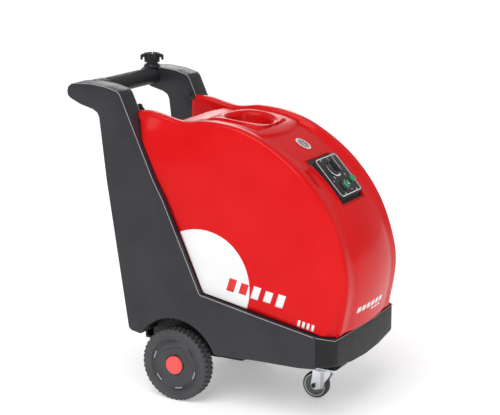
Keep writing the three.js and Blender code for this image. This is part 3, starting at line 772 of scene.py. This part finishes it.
def film(name, points, faces, mat, toward, lift):
    """Print on the front: points are cast on the hood along one direction, from 150 mm away."""
    step = Vector(toward)
    verts = []
    for point in points:
        hit = HOOD_TREE.ray_cast(Vector(place(point)) - step * 0.15, step)[0]
        verts.append(hit - step * lift)
    coated(name, verts, faces, mat, -step, 0.00022)


# Plain bars low on the front face.
for row, (z, tall, first, last, count) in enumerate(((303, 15, -90, 78, 6), (291, 6, 2, 68, 3))):
    pitch = (last - first) / count
    for k in range(count):
        y0 = first + k * pitch
        y1 = y0 + pitch * 0.72
        flat = [(432, y0 + (y1 - y0) * i / 6 + tall * 0.3 * j / 3, z + tall * j / 3)
                for i in range(7) for j in range(4)]
        film(f"front_bar_{row + 1}_{k + 1}", flat, grid_faces(7, 4), WHITE, (-1, 0, 0), PRINT_LIFT)

# Oval badge on the crowned front, between the step and the control panel.
BADGE = {"x": 209, "y": 12, "z": 746, "long": 28, "wide": 22}
badge_down = (-0.43, 0, -0.903)


def badge_rings(radii):
    points = []
    for scale in radii:
        for k in range(40):
            a = 2.0 * math.pi * k / 40
            points.append((BADGE["x"] + BADGE["long"] * scale * math.cos(a),
                           BADGE["y"] + BADGE["wide"] * scale * math.sin(a), BADGE["z"]))
    return points


film("badge_rim", badge_rings((0.8, 0.86, 0.93, 1)), grid_faces(4, 40, closed=True), WHITE, badge_down,
     0.0016)
film("badge_field", badge_rings((0.03, 0.3, 0.55, 0.82)), grid_faces(4, 40, closed=True), SILVER,
     badge_down, 0.0011)


# ---- side frames and bumper -------------------------------------------------------------------
def side_frame_outline():
    corners = [
        (-437, 880, 8), (-433, 893, 8), (-421, 902, 10), (-396, 905.4, 20), (-353, 906, 30),
        (-304, 901, 40), (-262, 890, 18), (-254, 881, 8), (-149, 647, 60), (-118, 592, 40),
        (2, 329, 5), (197, 291, 10), (368, 258.8, 4), (368, 168.6, 4), (316, 164, 4), (171, 163, 30),
        (50, 158, 6),
    ]
    foot = math.degrees(math.atan2(158 - WHEEL_R, 50 - AXLE_X))
    corners += [(x, z, 0) for x, z in arc(AXLE_X, WHEEL_R, 139, foot, 147, 36)[1:-1]]
    corners += [
        (-199.6, 182.7, 3), (-232, 189, 8), (-240, 197, 8), (-307, 630, 60), (-328, 812, 14),
        (-334, 824, 8), (-349, 833, 8), (-391, 844, 10), (-427, 860, 8), (-435, 868, 6),
    ]
    return filleted(corners, 5)


for side_name, side in SIDES:
    slab(f"{side_name}_frame_moulding", side_frame_outline(), side * FRAME_IN, side * FRAME_OUT, "xz",
         BLACK, "chassis", edge=6.0, stands_for=(f"{side_name}_side_frame",), segments=4, sharp=50.0)
    # Liner and ribs in the roof of the wheel arch, in the darker black of painted shade.
    roof = arc(AXLE_X, WHEEL_R, 139.6, 23, 146, 36)
    roof += arc(AXLE_X, WHEEL_R, 137.6, 146, 23, 36)
    slab(f"{side_name}_arch_liner", roof, side * (FRAME_IN - 1), side * (FRAME_OUT - 7), "xz", SHADE_BLACK,
         "chassis", edge=0.4, segments=1, sharp=30.0)
    for angle in (62, 99, 136):
        root = arc(AXLE_X, WHEEL_R, 140, angle - 1, angle + 1, 2)
        tip = arc(AXLE_X, WHEEL_R, 129, angle + 0.8, angle - 0.8, 2)
        slab(f"{side_name}_arch_rib_{int(angle)}", root + tip, side * (FRAME_IN + 6),
             side * (FRAME_OUT - 16), "xz", SHADE_BLACK, "chassis", edge=0.8, segments=2)


BUMPER_BACK = 362.0
BUMPER_FALL = 0.16


def bumper():
    """Front moulding: its top falls away forward, and its underside sags between the corners."""
    outline = filleted([
        (362, -FRAME_OUT, 0), (411, -200, 14), (418, -184, 30), (421, -90, 60), (422, 0, 80),
        (421, 90, 60), (418, 184, 30), (411, 200, 14), (362, FRAME_OUT, 0),
    ], 8)
    obj = slab("bumper_moulding", outline, 171, 262, "xy", BUMPER, "chassis", edge=6.0,
               stands_for=("front_bumper",), segments=4, sharp=50.0)
    first = (BUMPER_BACK + SHIFT) / 1000.0
    for vert in obj.data.vertices:
        reach = max(0, vert.co.x - first)
        if vert.co.z > 0.215:
            vert.co.z -= 0.0015 + reach * BUMPER_FALL
        else:
            sag = 0.018 * max(0, 1.0 - (vert.co.y / 0.19) ** 2)
            vert.co.z += 0.004 * min(1, reach / 0.04) - sag


bumper()


def tray():
    """Moulded floor with wheel-house walls, a low sump and a boss over the caster, all in the darker black
    of painted shade.
    """
    def block(name, x, y, low, high, radius, edge, stands_for=()):
        slab(name, rectangle(x, y, radius, 4), low, high, "xy", SHADE_BLACK, "chassis", edge=edge,
             stands_for=stands_for)

    inner = FRAME_IN - 0.6
    block("tray_floor", (-226, 360), (-inner, inner), 150, 157, 6, 1, ("base_tray",))
    for side_name, side in SIDES:
        y = sorted((side * inner, side * (inner - 6)))
        block(f"tray_wheel_wall_{side_name}", (-196, 28), y, 128, 262, 1.5, 0.8)
    block("tray_sump", (-22, 74), (-98, 98), 105, 151, 12, 4)
    block("caster_boss", (256, 330), (-31, 31), 105.1, 151, 8, 1.5)
    for k, (dx, dy) in enumerate(((-26, -37), (26, -37), (26, 37), (-26, 37))):
        block(f"caster_boss_rib_{k + 1}", (CASTER["x"] + dx - 3, CASTER["x"] + dx + 3),
              tuple(sorted((dy * 0.78, dy * 1.15))), 105.1, 151, 1, 0.6)


tray()


def edge_beads():
    """Fine bead along the moulded edges of the frames and the bumper, coloured light grey as a painted
    highlight line.
    """
    ridge = [(-421, 902), (-396, 905.4), (-353, 906), (-304, 901), (-264, 890.5), (-255, 882), (-149, 647),
             (-118, 592), (0, 333), (6, 328.5), (197, 291), (362, 260)]
    inset = 0.5
    for side_name, side in SIDES:
        for tag, y, line in (("outer", side * (FRAME_OUT - inset), ridge),
                             ("inner", side * (FRAME_IN + inset), ridge[:8])):
            points = []
            for k, (x, z) in enumerate(line):
                before = line[max(k - 1, 0)]
                after = line[min(k + 1, len(line) - 1)]
                run = math.hypot(after[0] - before[0], after[1] - before[1])
                points.append((x + (after[1] - before[1]) / run * inset, y,
                               z - (after[0] - before[0]) / run * inset))
            tube(f"{side_name}_{tag}_edge_bead", points, 1.2, EDGE, "chassis", resolution=2)
    rim = [(363, -221), (410, -199), (417, -183), (420, -90), (420.6, 0), (420, 90), (417, 183),
           (410, 199), (363, 221)]
    points = [(x - 1.2, y, 259.1 - (x - BUMPER_BACK) * BUMPER_FALL) for x, y in rim]
    tube("bumper_edge_bead", smooth_path(points, 5), 1, EDGE, "chassis", resolution=2)


edge_beads()

# ---- hinge arms, rear panel and machinery ------------------------------------------------------
lug = filleted([(-254, 833, 5), (-252, 841, 5), (-241, 842, 5), (-231, 836, 4), (-220, 824, 4),
                (-206, 812, 4), (-214, 802, 4), (-232, 816, 4), (-249, 827, 5)], 5)
for side_name, side in SIDES:
    slab(f"{side_name}_hinge_arm", lug, side * 136.2, side * 140, "xz", BLACK, "hood", edge=0.8,
         stands_for=(f"{side_name}_hinge_lug",), segments=2)


def bulkhead_x(z):
    """Rear face of the bulkhead at a height."""
    return float(np.interp(z, (157, 421, 639, 800), (-224, -234, -212, -114)))


def screw(name, k, y, z, x):
    profile = [(0, x + 1), (5.4, x + 1), (5.6, x - 0.6), (4.6, x - 2.4), (2.2, x - 3.2),
               (2, x - 1.6), (0, x - 1.4)]
    turned(f"{name}_{k + 1}", profile, 24, "x", (0, y, z), ZINC, "chassis", sharp=38.0)


def rear_details():
    """Louvres, port plate and fixings on the rear bulkhead."""
    # Air louvres: a raised surround and sloping blades.
    low, high, half_wide = 452, 622, 98.0
    for tag, z0, z1, y0, y1 in (("top", high, high + 9, -half_wide - 9, half_wide + 9),
                                ("bottom", low - 9, low, -half_wide - 9, half_wide + 9),
                                ("right", low, high, -half_wide - 9, -half_wide),
                                ("left", low, high, half_wide, half_wide + 9)):
        outline = [(bulkhead_x(z0) + 1, z0), (bulkhead_x(z0) - 4, z0),
                   (bulkhead_x(z1) - 4, z1), (bulkhead_x(z1) + 1, z1)]
        slab(f"louvre_frame_{tag}", outline, y0, y1, "xz", BLACK, "chassis", edge=1.2)
    blades = 9
    pitch = (high - low) / blades
    for k in range(blades):
        z = low + (k + 0.5) * pitch
        x = bulkhead_x(z)
        outline = filleted([(x + 1, z + 7, 0.6), (x - 1, z + 7.5, 0.8), (x - 7, z - 4, 1.2),
                            (x - 6, z - 6.5, 0.8), (x + 1, z - 1, 0.6)], 3)
        slab(f"louvre_blade_{k + 1}", outline, -half_wide, half_wide, "xz", BLACK, "chassis", edge=0.3,
             segments=1)
    # Plate behind the water connections.
    slab("port_plate", rectangle((-108, 108), (258, 342), 12, 5), -233.8, -228.6, "yz", CAST, "chassis",
         edge=1.2)
    for k, (y, z) in enumerate(((-97, 269), (97, 269), (97, 331), (-97, 331))):
        screw("port_screw", k, y, z, -233.8)
    for k, (y, z) in enumerate(((-142, 200), (142, 200), (-142, 400), (142, 400),
                                (-142, 610), (142, 610))):
        screw("panel_fixing", k, y, z, bulkhead_x(z))


def machinery():
    """Bands, feed pipe and terminal box on the machinery under the hood."""
    boiler_x, boiler_r = 40, 96.0
    band = mirrored([(boiler_r - 0.5, -9), (boiler_r + 1.6, -8.4), (boiler_r + 2.4, -4)])
    for k, z in enumerate((206, 430, 654)):
        turned(f"boiler_band_{k + 1}", band, 72, "z", (boiler_x, 0, z), ZINC, "chassis", sharp=50.0,
               closed=True)
    feed = smooth_path([(274, -52, 290), (274, -52, 326), (258, -50, 352), (214, -44, 362),
                        (168, -36, 362), (128, -30, 362)], 8)
    tube("boiler_feed_pipe", feed, 6, STEEL, "chassis")
    for k, (x, y, z, axis) in enumerate(((274, -52, 300, "z"), (134, -31, 362, "x"))):
        nut = mirrored([(6.2, -8), (10.4, -8), (11.2, -7)])
        turned(f"pipe_nut_{k + 1}", nut, 6, axis, (x, y, z), BRASS, "chassis", sharp=30.0, closed=True)
    slab("motor_terminal_box", rectangle((222, 278), (-6, 62), 6, 4), 298, 330, "xy", BLACK, "chassis",
         edge=2.5)


rear_details()
machinery()

# ---- handlebar, filler and cap ----------------------------------------------------------------
bar_half = FRAME_IN - 0.3
groove = 112.0
bar_profile = [(BAR["r"], -bar_half), (BAR["r"], -60), (BAR["r"], 0), (BAR["r"], 60),
               (BAR["r"], groove), (BAR["r"] - 1, groove + 0.5), (BAR["r"] - 1, groove + 1.6),
               (BAR["r"], groove + 2.1), (BAR["r"], bar_half)]
turned("grip_tube", bar_profile, 64, "y", (BAR["x"], 0, BAR["z"]), GRIP, "chassis", ("handlebar",))

collar_profile = [(BAR["r"] + 0.3 + out, along - bar_half) for out,
                  along in ((0, 0), (2, 0), (2, 20), (2, 40), (1.7, 43.5), (1.2, 45.4), (0, 45.7))]
turned("grip_collar", collar_profile, 64, "y", (BAR["x"], 0, BAR["z"]), BLACK, "chassis",
       ("handlebar_collar",), closed=True)

neck_profile = [(0, -1.2), (25.4, -1.2), (26, -0.6), (26, 3.2), (25.4, 4), (23.6, 4.6), (22.8, 7.6),
                (21.8, 8.6), (17.6, 9), (17, 9.6), (17, 13.4), (16.4, 14), (0, 14)]
turned("filler_neck_moulding", neck_profile, 56, "z", (FILLER["x"], FILLER["y"], FILLER["base"]), BLACK,
       "chassis", ("filler_neck",))


def filler_cap():
    base = FILLER["base"] + 14.3
    at = (FILLER["x"], FILLER["y"], base)
    profile = [(0, 0), (22.8, 0), (23.6, 0.8), (23.6, 4.2), (22.8, 5), (20.6, 6.2), (20.6, 19.4),
               (19.8, 20.6), (15.6, 21), (15, 20.4), (14.8, 18.6), (0, 18.2)]
    turned("cap_body", profile, 56, "z", at, GRIP, "filler_cap", ("filler_cap",))
    turn = math.radians(28.8)
    spin = Matrix.Translation(at) @ Matrix.Rotation(turn, 4, "Z")
    for k in range(8):
        block = spin @ Matrix.Rotation(math.radians(22.5 + 45.0 * k), 4, "Z")
        outline = filleted([(14.8, -5, 1), (23.6, -6.9, 2.2), (23.6, 6.9, 2.2), (14.8, 5, 1)], 3)
        slab(f"cap_rib_{k + 1}", outline, 5.4, 27.6, "xy", GRIP, "filler_cap", edge=1.2, moved=block,
             segments=2)
    for k in range(2):
        wing = spin @ Matrix.Rotation(math.pi * k, 4, "Z")
        outline = filleted([(20, 15, 0.5), (28.2, 15, 1), (28.6, 7, 1.4), (35, 6.6, 1.8),
                            (35.6, 20, 4), (30, 24.6, 4), (20, 24.6, 0.5)], 4)
        slab(f"cap_wing_{k + 1}", outline, -7, 7, "xz", GRIP, "filler_cap", edge=1.3, moved=wing,
             segments=2)


filler_cap()


# ---- rear wheels ------------------------------------------------------------------------------
LUGS = 44
WIDE = WHEEL_OUT - WHEEL_IN


def tyre(side_name, side):
    """Rubber ring with two staggered rows of tread blocks."""
    rim = 79.3
    outer_face = [(rim, WIDE - 3), (83, WIDE - 1.4), (85, WIDE - 1), (86, WIDE - 2),
                  (87.4, WIDE - 2), (88.4, WIDE - 1), (94, WIDE - 1), (98, WIDE - 2.2),
                  (101, WIDE - 4.5)]
    inner_face = [(101, 5.5), (97, 3.2), (90, 2), (rim, 4)]
    half = WIDE / 2
    tread = [(half + 20, "groove"), (half + 18.5, "outer"), (half + 4, "outer"), (half + 2.6, "groove"),
             (half - 2.6, "groove"), (half - 4, "inner"), (half - 18.5, "inner"), (half - 20, "groove")]
    low = WHEEL_R - 3.2
    shares = [0, 0.07, 0.5, 0.57]
    angles = [(k + share) * 2 * math.pi / LUGS for k in range(LUGS) for share in shares]
    verts = []
    count = len(angles)

    def ring(radii, along):
        for angle, r in zip(angles, radii):
            y = side * (WHEEL_IN + along)
            verts.append((AXLE_X + r * math.cos(angle), y, WHEEL_R + r * math.sin(angle)))

    for r, along in outer_face:
        ring([r] * count, along)
    for along, kind in tread:
        if kind == "groove":
            ring([low] * count, along)
        else:
            outer = kind == "outer"
            ring([WHEEL_R if (n % 4 in (1, 2)) == outer else low for n in range(count)], along)
    for r, along in inner_face:
        ring([r] * count, along)
    rows = len(outer_face) + len(tread) + len(inner_face)
    faces = grid_faces(rows, count, closed=True, looped=True)
    piece(f"{side_name}_tyre_rubber", verts, faces, TYRE, f"{side_name}_wheel", (f"{side_name}_tyre",),
          sharp=30.0)


def wheel_disc(side_name, side):
    """Turned disc with a raised web and short ridges, four of them light grey as painted glints."""
    bore = 10.4
    profile = [(bore, 4), (24, 4), (28, 16), (66, 20), (74, 8), (77, 4.6), (78.6, 4.6), (78.9, 6)]
    profile += [(r, WIDE - depth) for r, depth in ((78.9, 3.4), (78.2, 2.6), (76, 2.6), (75.2, 3.4),
                                                   (74.4, 5.2), (72.6, 5.6), (71.6, 4.8), (70.4, 4.8),
                                                   (69.4, 6), (67.6, 6.2), (66.6, 5.4), (65.4, 5.4),
                                                   (64.4, 6.8), (50, 7.4), (34, 7.4), (31.4, 7.8),
                                                   (30.6, 8.4), (28.6, 8.4), (27.6, 6), (26.6, 5),
                                                   (bore, 5))]
    placed = [(r, side * (WHEEL_IN + along)) for r, along in profile]
    turned(f"{side_name}_disc", placed, 72, "y", (AXLE_X, 0, WHEEL_R), DISC, f"{side_name}_wheel",
           (f"{side_name}_wheel_disc",), sharp=32.0, closed=True)
    # Raised five-sided web on the disc, with a round hole for the cap.
    inradius, corner = 50, 17.0
    reach = inradius / math.cos(math.radians(36))
    edge_points = filleted([(AXLE_X + reach * math.cos(math.radians(73 + 72 * k)),
                             WHEEL_R + reach * math.sin(math.radians(73 + 72 * k)),
                             corner) for k in range(5)], 8)
    hole = 31.0
    steps = ((0, 9, None), (0, 7.2, None), (1.6, 6.4, None), (5, 5.9, None), (0, 5.9, hole + 1.2),
             (0, 5.4, hole), (0, 9, hole))
    ring_verts = []
    for inset, depth, radius in steps:
        for x, z in edge_points:
            dx, dz = x - AXLE_X, z - WHEEL_R
            far = math.hypot(dx, dz)
            share = (radius or far - inset) / far
            ring_verts.append((AXLE_X + dx * share, side * (WHEEL_IN + WIDE - depth),
                               WHEEL_R + dz * share))
    faces = grid_faces(len(steps), len(edge_points), closed=True, looped=True)
    piece(f"{side_name}_disc_web", ring_verts, faces, DISC, f"{side_name}_wheel", sharp=40.0)
    # Short ridges round the rim of the disc; the last four are light grey as painted glints, the first two
    # keep the disc's grey.
    for k in range(6):
        middle = 41.0 + 60.0 * k
        outline = arc(AXLE_X, WHEEL_R, 70.6, middle - 10, middle + 10, 10)
        outline += arc(AXLE_X, WHEEL_R, 66.4, middle + 10, middle - 10, 10)
        slab(f"{side_name}_disc_ridge_{k + 1}", outline, side * (WHEEL_OUT - 6.4),
             side * (WHEEL_OUT - 2.4), "xz", GLINT if k > 1 else DISC, f"{side_name}_wheel", edge=1.8,
             segments=4, sharp=60.0)


def hub_cap(side_name, side):
    profile = [(0, WIDE - 4.7), (26.2, WIDE - 4.7), (27, WIDE - 4), (27, WIDE - 0.6),
               (26.2, WIDE + 0.4), (24.6, WIDE + 1.2), (22.6, WIDE + 1), (21.6, WIDE + 1.2),
               (14, WIDE + 2.8), (0, WIDE + 3.6)]
    placed = [(r, side * (WHEEL_IN + along)) for r, along in profile]
    turned(f"{side_name}_hub_disc", placed, 64, "y", (AXLE_X, 0, WHEEL_R), CAP_RED,
           f"{side_name}_wheel", (f"{side_name}_hub_cap",), sharp=40.0)


for side_name, side in SIDES:
    tyre(side_name, side)
    wheel_disc(side_name, side)
    hub_cap(side_name, side)


# ---- swivel caster ----------------------------------------------------------------------------
CASTER_AXLE = (CASTER["x"] - CASTER["trail"], 0, CASTER["r"])

plate = rectangle((CASTER["x"] - 52.5, CASTER["x"] + 52.5), (-42.5, 42.5), 9, 5)
slab("caster_top_plate", plate, CASTER["top"] - 3.5, CASTER["top"] - 0.1, "xy", ZINC, "chassis",
     edge=0.8, stands_for=("caster_plate",), segments=2)


def caster_fork():
    cup = [(6.4, 86.2), (26, 86.2), (27, 87.2), (27, 92.8), (26, 94), (24.4, 94.6), (24, 96.8),
           (25, 97.6), (25, 99.4), (24, 100.2), (6.4, 100.2)]
    turned("fork_bearing_cup", cup, 56, "z", (CASTER["x"], 0, 0), ZINC, "caster_swivel",
           ("caster_fork",), sharp=40.0, closed=True)
    crown = rectangle((CASTER["x"] - 33, CASTER["x"] + 25), (-18, 18), 8, 4)
    slab("fork_crown", crown, 86, 90.2, "xy", ZINC, "caster_swivel", edge=1.4)
    ax = CASTER_AXLE[0]
    leg = filleted([(CASTER["x"] - 33, 90, 3), (CASTER["x"] + 25, 90, 3), (CASTER["x"] + 22, 76, 8),
                    (ax + 34, 54, 12), (ax + 24, 33, 9), (ax + 4, 27, 10), (ax - 10, 31, 8),
                    (ax - 11, 44, 10), (ax - 7, 66, 14)], 6)
    for tag, side in SIDES:
        slab(f"fork_leg_{tag}", leg, side * 14.8, side * 18, "xz", ZINC, "caster_swivel", edge=1.2)
        rib = filleted([(ax + 21, 33, 3), (ax + 31, 35, 3), (ax + 33, 88, 2), (ax + 22, 88, 2)], 3)
        slab(f"fork_rib_{tag}", rib, side * 17, side * 20.4, "xz", STEEL, "caster_swivel", edge=1.6)
        turned(f"axle_washer_{tag}", [(0, side * 18), (7.4, side * 18), (7.4, side * 19.4),
                                      (6.6, side * 20), (4.4, side * 20), (4.2, side * 19),
                                      (0, side * 19)], 36, "y", CASTER_AXLE, ZINC, "caster_swivel")


caster_fork()
hub = mirrored([(4.4, -13.6), (8.4, -13.6), (9.2, -12.8), (9.2, -9.8), (10.2, -9), (22.4, -8.6),
                (25.4, -9.4), (27.2, -11), (30, -11.2), (30.4, -10.6)])
turned("caster_wheel_hub", hub, 56, "y", CASTER_AXLE, HUB, "caster_wheel", ("caster_hub",), sharp=36.0,
       closed=True)
band = mirrored([(30.8, -11.4), (34, -13.2), (36.6, -13.2), (38.6, -11.8), (39.6, -9), (40, -5)])
turned("caster_wheel_tyre", band, 72, "y", CASTER_AXLE, RUBBER, "caster_wheel", ("caster_tyre",),
       sharp=45.0, closed=True)
for tag, side in SIDES:
    seam = [(30.6, side * 11), (30.9, side * 12.6), (32, side * 13.4), (33.4, side * 13.6),
            (33.8, side * 13), (33.6, side * 11.4)]
    turned(f"caster_wheel_seam_{tag}", seam, 72, "y", CASTER_AXLE, SEAM, "caster_wheel", sharp=45.0,
           closed=True)

# ---- control panel ----------------------------------------------------------------------------
ON_PANEL = Matrix.Translation((PANEL["x"], 0, PANEL["z"])) @ Matrix.Rotation(PANEL["tilt"], 4, "Y")


def rounded_square(half, radius):
    return rectangle((half, -half), (half, -half), radius, 6)


def ribbon(name, line, widths, low, high, mat, closed=False, body="hood"):
    """Flat strip on the panel along a line, with its own width at each point."""
    count = len(line)
    verts = []
    for k, (x, y) in enumerate(line):
        ahead = line[(k + 1) % count] if closed or k < count - 1 else line[k]
        behind = line[k - 1] if closed or k > 0 else line[k]
        along = Vector((ahead[0] - behind[0], ahead[1] - behind[1])).normalized()
        across = Vector((-along.y, along.x)) * widths[k] / 2.0
        for sign, z in ((1, low), (1, high), (-1, high), (-1, low)):
            spot = ON_PANEL @ Vector((x + sign * across.x, y + sign * across.y, z))
            verts.append(tuple(spot))
    faces = grid_faces(count, 4, closed=True, looped=closed)
    if not closed:
        last = (count - 1) * 4
        faces += [(0, 1, 2, 3), (last + 3, last + 2, last + 1, last)]
    piece(name, verts, faces, mat, body, sharp=30.0)


def panel_lathe(name, x, y, profile, mat, body, stands_for=(), segments=48):
    """Piece turned about a line square to the panel."""
    verts, faces = lathe(profile, segments, "z", (x, y, 0))
    verts = [tuple(ON_PANEL @ Vector(v)) for v in verts]
    piece(name, verts, faces, mat, body, stands_for, sharp=38.0)


# Tray behind the faceplate, in the darker black of painted shade inside the pocket.
slab("housing_tray", rectangle((82, -76), (73, -73), 10, 6), -60, -17, "xy", SHADE_BLACK, "hood", edge=2.0,
     stands_for=("control_housing",), moved=ON_PANEL)
slab("housing_plinth", rounded_square(65.5, 11), -22, -2.1, "xy", BLACK, "hood", edge=1.4,
     moved=ON_PANEL)
slab("housing_skirt", rounded_square(68.5, 12), -22, -13, "xy", BLACK, "hood", edge=1.6, moved=ON_PANEL)
half = PANEL["half"]
slab("panel_plate", rounded_square(half, 11), -2.1, 0, "xy", PLATE, "hood", edge=0.8,
     stands_for=("control_faceplate",), moved=ON_PANEL)
border = rounded_square(half - 4.5, 11)
ribbon("panel_border", border, [2.3] * len(border), -0.3, 0.25, WHITE, closed=True)
for k, (x, y) in enumerate(((-57, -36), (57.5, -34), (57.5, 36), (-57, 36))):
    panel_lathe(f"panel_screw_{k + 1}", x, y, [(0, -0.6), (2.5, -0.6), (2.6, 0.6), (2, 1.4), (0.9, 1.7),
                                               (0.8, 1), (0, 0.9)], ZINC, "hood", segments=24)

KNOB_AT = (-26, 0)
panel_lathe("knob_skirt", *KNOB_AT, [(0, 0.4), (22.6, 0.4), (23.2, 1.2), (22.8, 4.4), (21.2, 6.4),
                                     (19.8, 7.2), (0, 7.6)], KNOB, "thermostat", ("thermostat_knob",),
            segments=64)
grip_outline = filleted([(21.5, 8, 5), (0, 10, 30), (-21.5, 8, 5), (-21.5, -8, 5),
                         (0, -10, 30), (21.5, -8, 5)], 6)
knob_turn = ON_PANEL @ Matrix.Translation((*KNOB_AT, 0))
slab("knob_grip", grip_outline, 6.4, 20, "xy", KNOB, "thermostat", edge=2.2, moved=knob_turn)
slab("knob_pointer", [(-19, -0.6), (19, -0.6), (19, 0.6), (-19, 0.6)], 19.4, 20.3, "xy", WHITE,
     "thermostat", edge=0.2, moved=knob_turn @ Matrix.Translation((0, -5, 0)), segments=1)

sweep = [(KNOB_AT[0] + 27.5 * math.cos(a), KNOB_AT[1] + 27.5 * math.sin(a))
         for a in np.radians(np.linspace(-122, 28, 44))]
ribbon("heat_scale", sweep, list(np.linspace(0.6, 6, len(sweep))), -0.3, 0.25, WHITE)
for k, (x, y, reach, turn) in enumerate((
        (-55, 6, 2.2, 0), (3, -30, 4.5, 0.5), (4.5, 33.5, 4, 0.2), (22, 10, 3, 0.9),
        (53, 12, 3, 1.5), (12, -46, 2.5, 1.5))):
    step = (reach * math.cos(turn), reach * math.sin(turn))
    ribbon(f"panel_mark_{k + 1}", [(x - step[0], y - step[1]), (x + step[0], y + step[1])], [1.6, 2],
           -0.3, 0.25, WHITE)

SWITCH_AT, LAMP_AT = (35, -11), (25.5, 50.5)
panel_lathe("switch_bezel", *SWITCH_AT, [(11.6, 0.3), (15.4, 0.3), (15.8, 1), (15.6, 4), (14.2, 6.2),
                                         (13, 6.9), (11.9, 6.6), (11.6, 5.8)], KNOB, "hood",
            ("power_switch_bezel",))
panel_lathe("switch_button", *SWITCH_AT, [(0, 4), (10.6, 4), (11, 4.6), (11, 9.4), (10.2, 10.8),
                                          (8.4, 11.6), (7.6, 11.2), (4, 12), (0, 12.4)], GREEN,
            "power_switch", ("power_switch_button",))
panel_lathe("lamp_lens", *LAMP_AT, [(0, 0.4), (9.6, 0.4), (10, 1), (9.6, 3), (8.8, 3.6), (8.6, 6),
                                    (7.8, 7.8), (6, 8.9), (3, 9.6), (0, 9.8)], GREEN, "hood",
            ("pilot_lamp",))
on_switch = ON_PANEL @ Matrix.Translation((*SWITCH_AT, 0))
slab("switch_rocker", arc(0, 1, 9.4, 0, 180, 18), 9, 13, "xy", KNOB, "power_switch", edge=0.9,
     moved=on_switch)
ribbon("switch_on_mark", [(SWITCH_AT[0] - 6.4, SWITCH_AT[1] + 5),
                          (SWITCH_AT[0] - 1.6, SWITCH_AT[1] + 5.4)], [2, 2], 12.6, 13.4, WHITE,
       body="power_switch")
ring = [(x + SWITCH_AT[0], y + SWITCH_AT[1]) for x, y in arc(3.4, 4.6, 2.7, 0, 345, 23)]
ribbon("switch_off_mark", ring, [1.3] * len(ring), 12.6, 13.4, WHITE, closed=True, body="power_switch")

# ---- finishes and rounded edges on the frame's own nodes --------------------------------------
NODE_FINISH = (
    (BLACK, 0.8, ("rear_bulkhead", "motor_fan_cover", "pressure_knob", "detergent_cap",
                  "drain_stub", "boiler_base", "right_hinge_pin", "left_hinge_pin")),
    # Caster axle in the darker black of painted shade between the fork legs.
    (SHADE_BLACK, 0.6, ("caster_axle",)),
    (STEEL, 0.6, ("rear_axle", "right_axle_bracket", "left_axle_bracket", "caster_kingpin",
                  "boiler_shell")),
    (ZINC, 0.5, ("caster_bolt_1", "caster_bolt_2", "caster_bolt_3", "caster_bolt_4", "flue_collar")),
    (BRASS, 0.8, ("pump_block", "water_inlet_coupling", "pressure_outlet_coupling")),
    (CAST, 0.6, ("blower_housing", "blower_fan", "motor_fan")),
    (MOTOR, 1, ("blower_motor", "motor_body")),
    (TANK, 2, ("detergent_tank",)),
)
for finish, width, names in NODE_FINISH:
    for name in names:
        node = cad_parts[name]
        node.data.materials.clear()
        node.data.materials.append(finish)
        rounded = node.modifiers.new("rounded", "BEVEL")
        rounded.width = width / 1000.0
        rounded.segments = 2
        rounded.limit_method = "ANGLE"
        rounded.angle_limit = math.radians(40)
        rounded.harden_normals = False

# ---- camera, lights and floor -----------------------------------------------------------------
camera_data = bpy.data.cameras.new("camera")
camera_data.sensor_width = 36.0
camera_data.lens = 108.86
camera = bpy.data.objects.new("camera", camera_data)
bpy.context.collection.objects.link(camera)
bpy.context.scene.camera = camera
AZIMUTH, ELEVATION, DISTANCE = math.radians(28.83), math.radians(13.39), 4400.0
aim = Vector(place((43, 0, 542.6)))
back = Vector((math.sin(AZIMUTH) * math.cos(ELEVATION), -math.cos(AZIMUTH) * math.cos(ELEVATION),
               math.sin(ELEVATION)))
camera.location = aim + back * DISTANCE / 1000.0
camera.rotation_euler = (-back).to_track_quat("-Z", "Y").to_euler()


def area_light(name, spot, target, size, power, tint=(1, 1, 1)):
    data = bpy.data.lights.new(name, "AREA")
    data.shape = "RECTANGLE"
    data.size, data.size_y = size
    data.energy = power
    data.color = tint
    lamp = bpy.data.objects.new(name, data)
    lamp.location = spot
    lamp.rotation_euler = (Vector(target) - Vector(spot)).to_track_quat("-Z", "Y").to_euler()
    bpy.context.collection.objects.link(lamp)


area_light("front_strip", (3.2, 0.9, 1.5), (0.3, 0, 0.5), (0.7, 2.2), 3)
area_light("corner_strip", (3.1, -2.1, 1.7), (0, 0, 0.6), (0.5, 1.7), 16)
area_light("near_box", (0.9, -3.6, 2.2), (0, 0, 0.5), (2, 1.4), 9)
area_light("rear_box", (-1.8, 3.4, 1.95), (0, 0, 0.7), (1.8, 1.2), 17)

key_data = bpy.data.lights.new("key", "SUN")
key_data.energy = 1.7
key_data.angle = math.radians(50)
key = bpy.data.objects.new("key", key_data)
key.rotation_euler = Vector((-0.02, 0.56, -0.83)).to_track_quat("-Z", "Y").to_euler()
bpy.context.collection.objects.link(key)

world = bpy.data.worlds.new("studio")
world.use_nodes = True
world.node_tree.nodes["Background"].inputs["Color"].default_value = (1, 1, 1, 1)
world.node_tree.nodes["Background"].inputs["Strength"].default_value = 0.38
bpy.context.scene.world = world
bpy.context.scene.view_settings.view_transform = "Standard"

floor_mesh = bpy.data.meshes.new("floor")
work = bmesh.new()
bmesh.ops.create_grid(work, x_segments=8, y_segments=8, size=60.0)
work.to_mesh(floor_mesh)
work.free()
pale = surface("floor_pale", (0.9, 0.9, 0.9), 0.7, mottle=0.01, grain=(60, 0.02))
floor_mesh.materials.append(glowing(pale, (1, 1, 1), 0.32))
floor = bpy.data.objects.new("floor", floor_mesh)
floor.location = (0, 0, -0.0005)
bpy.context.collection.objects.link(floor)
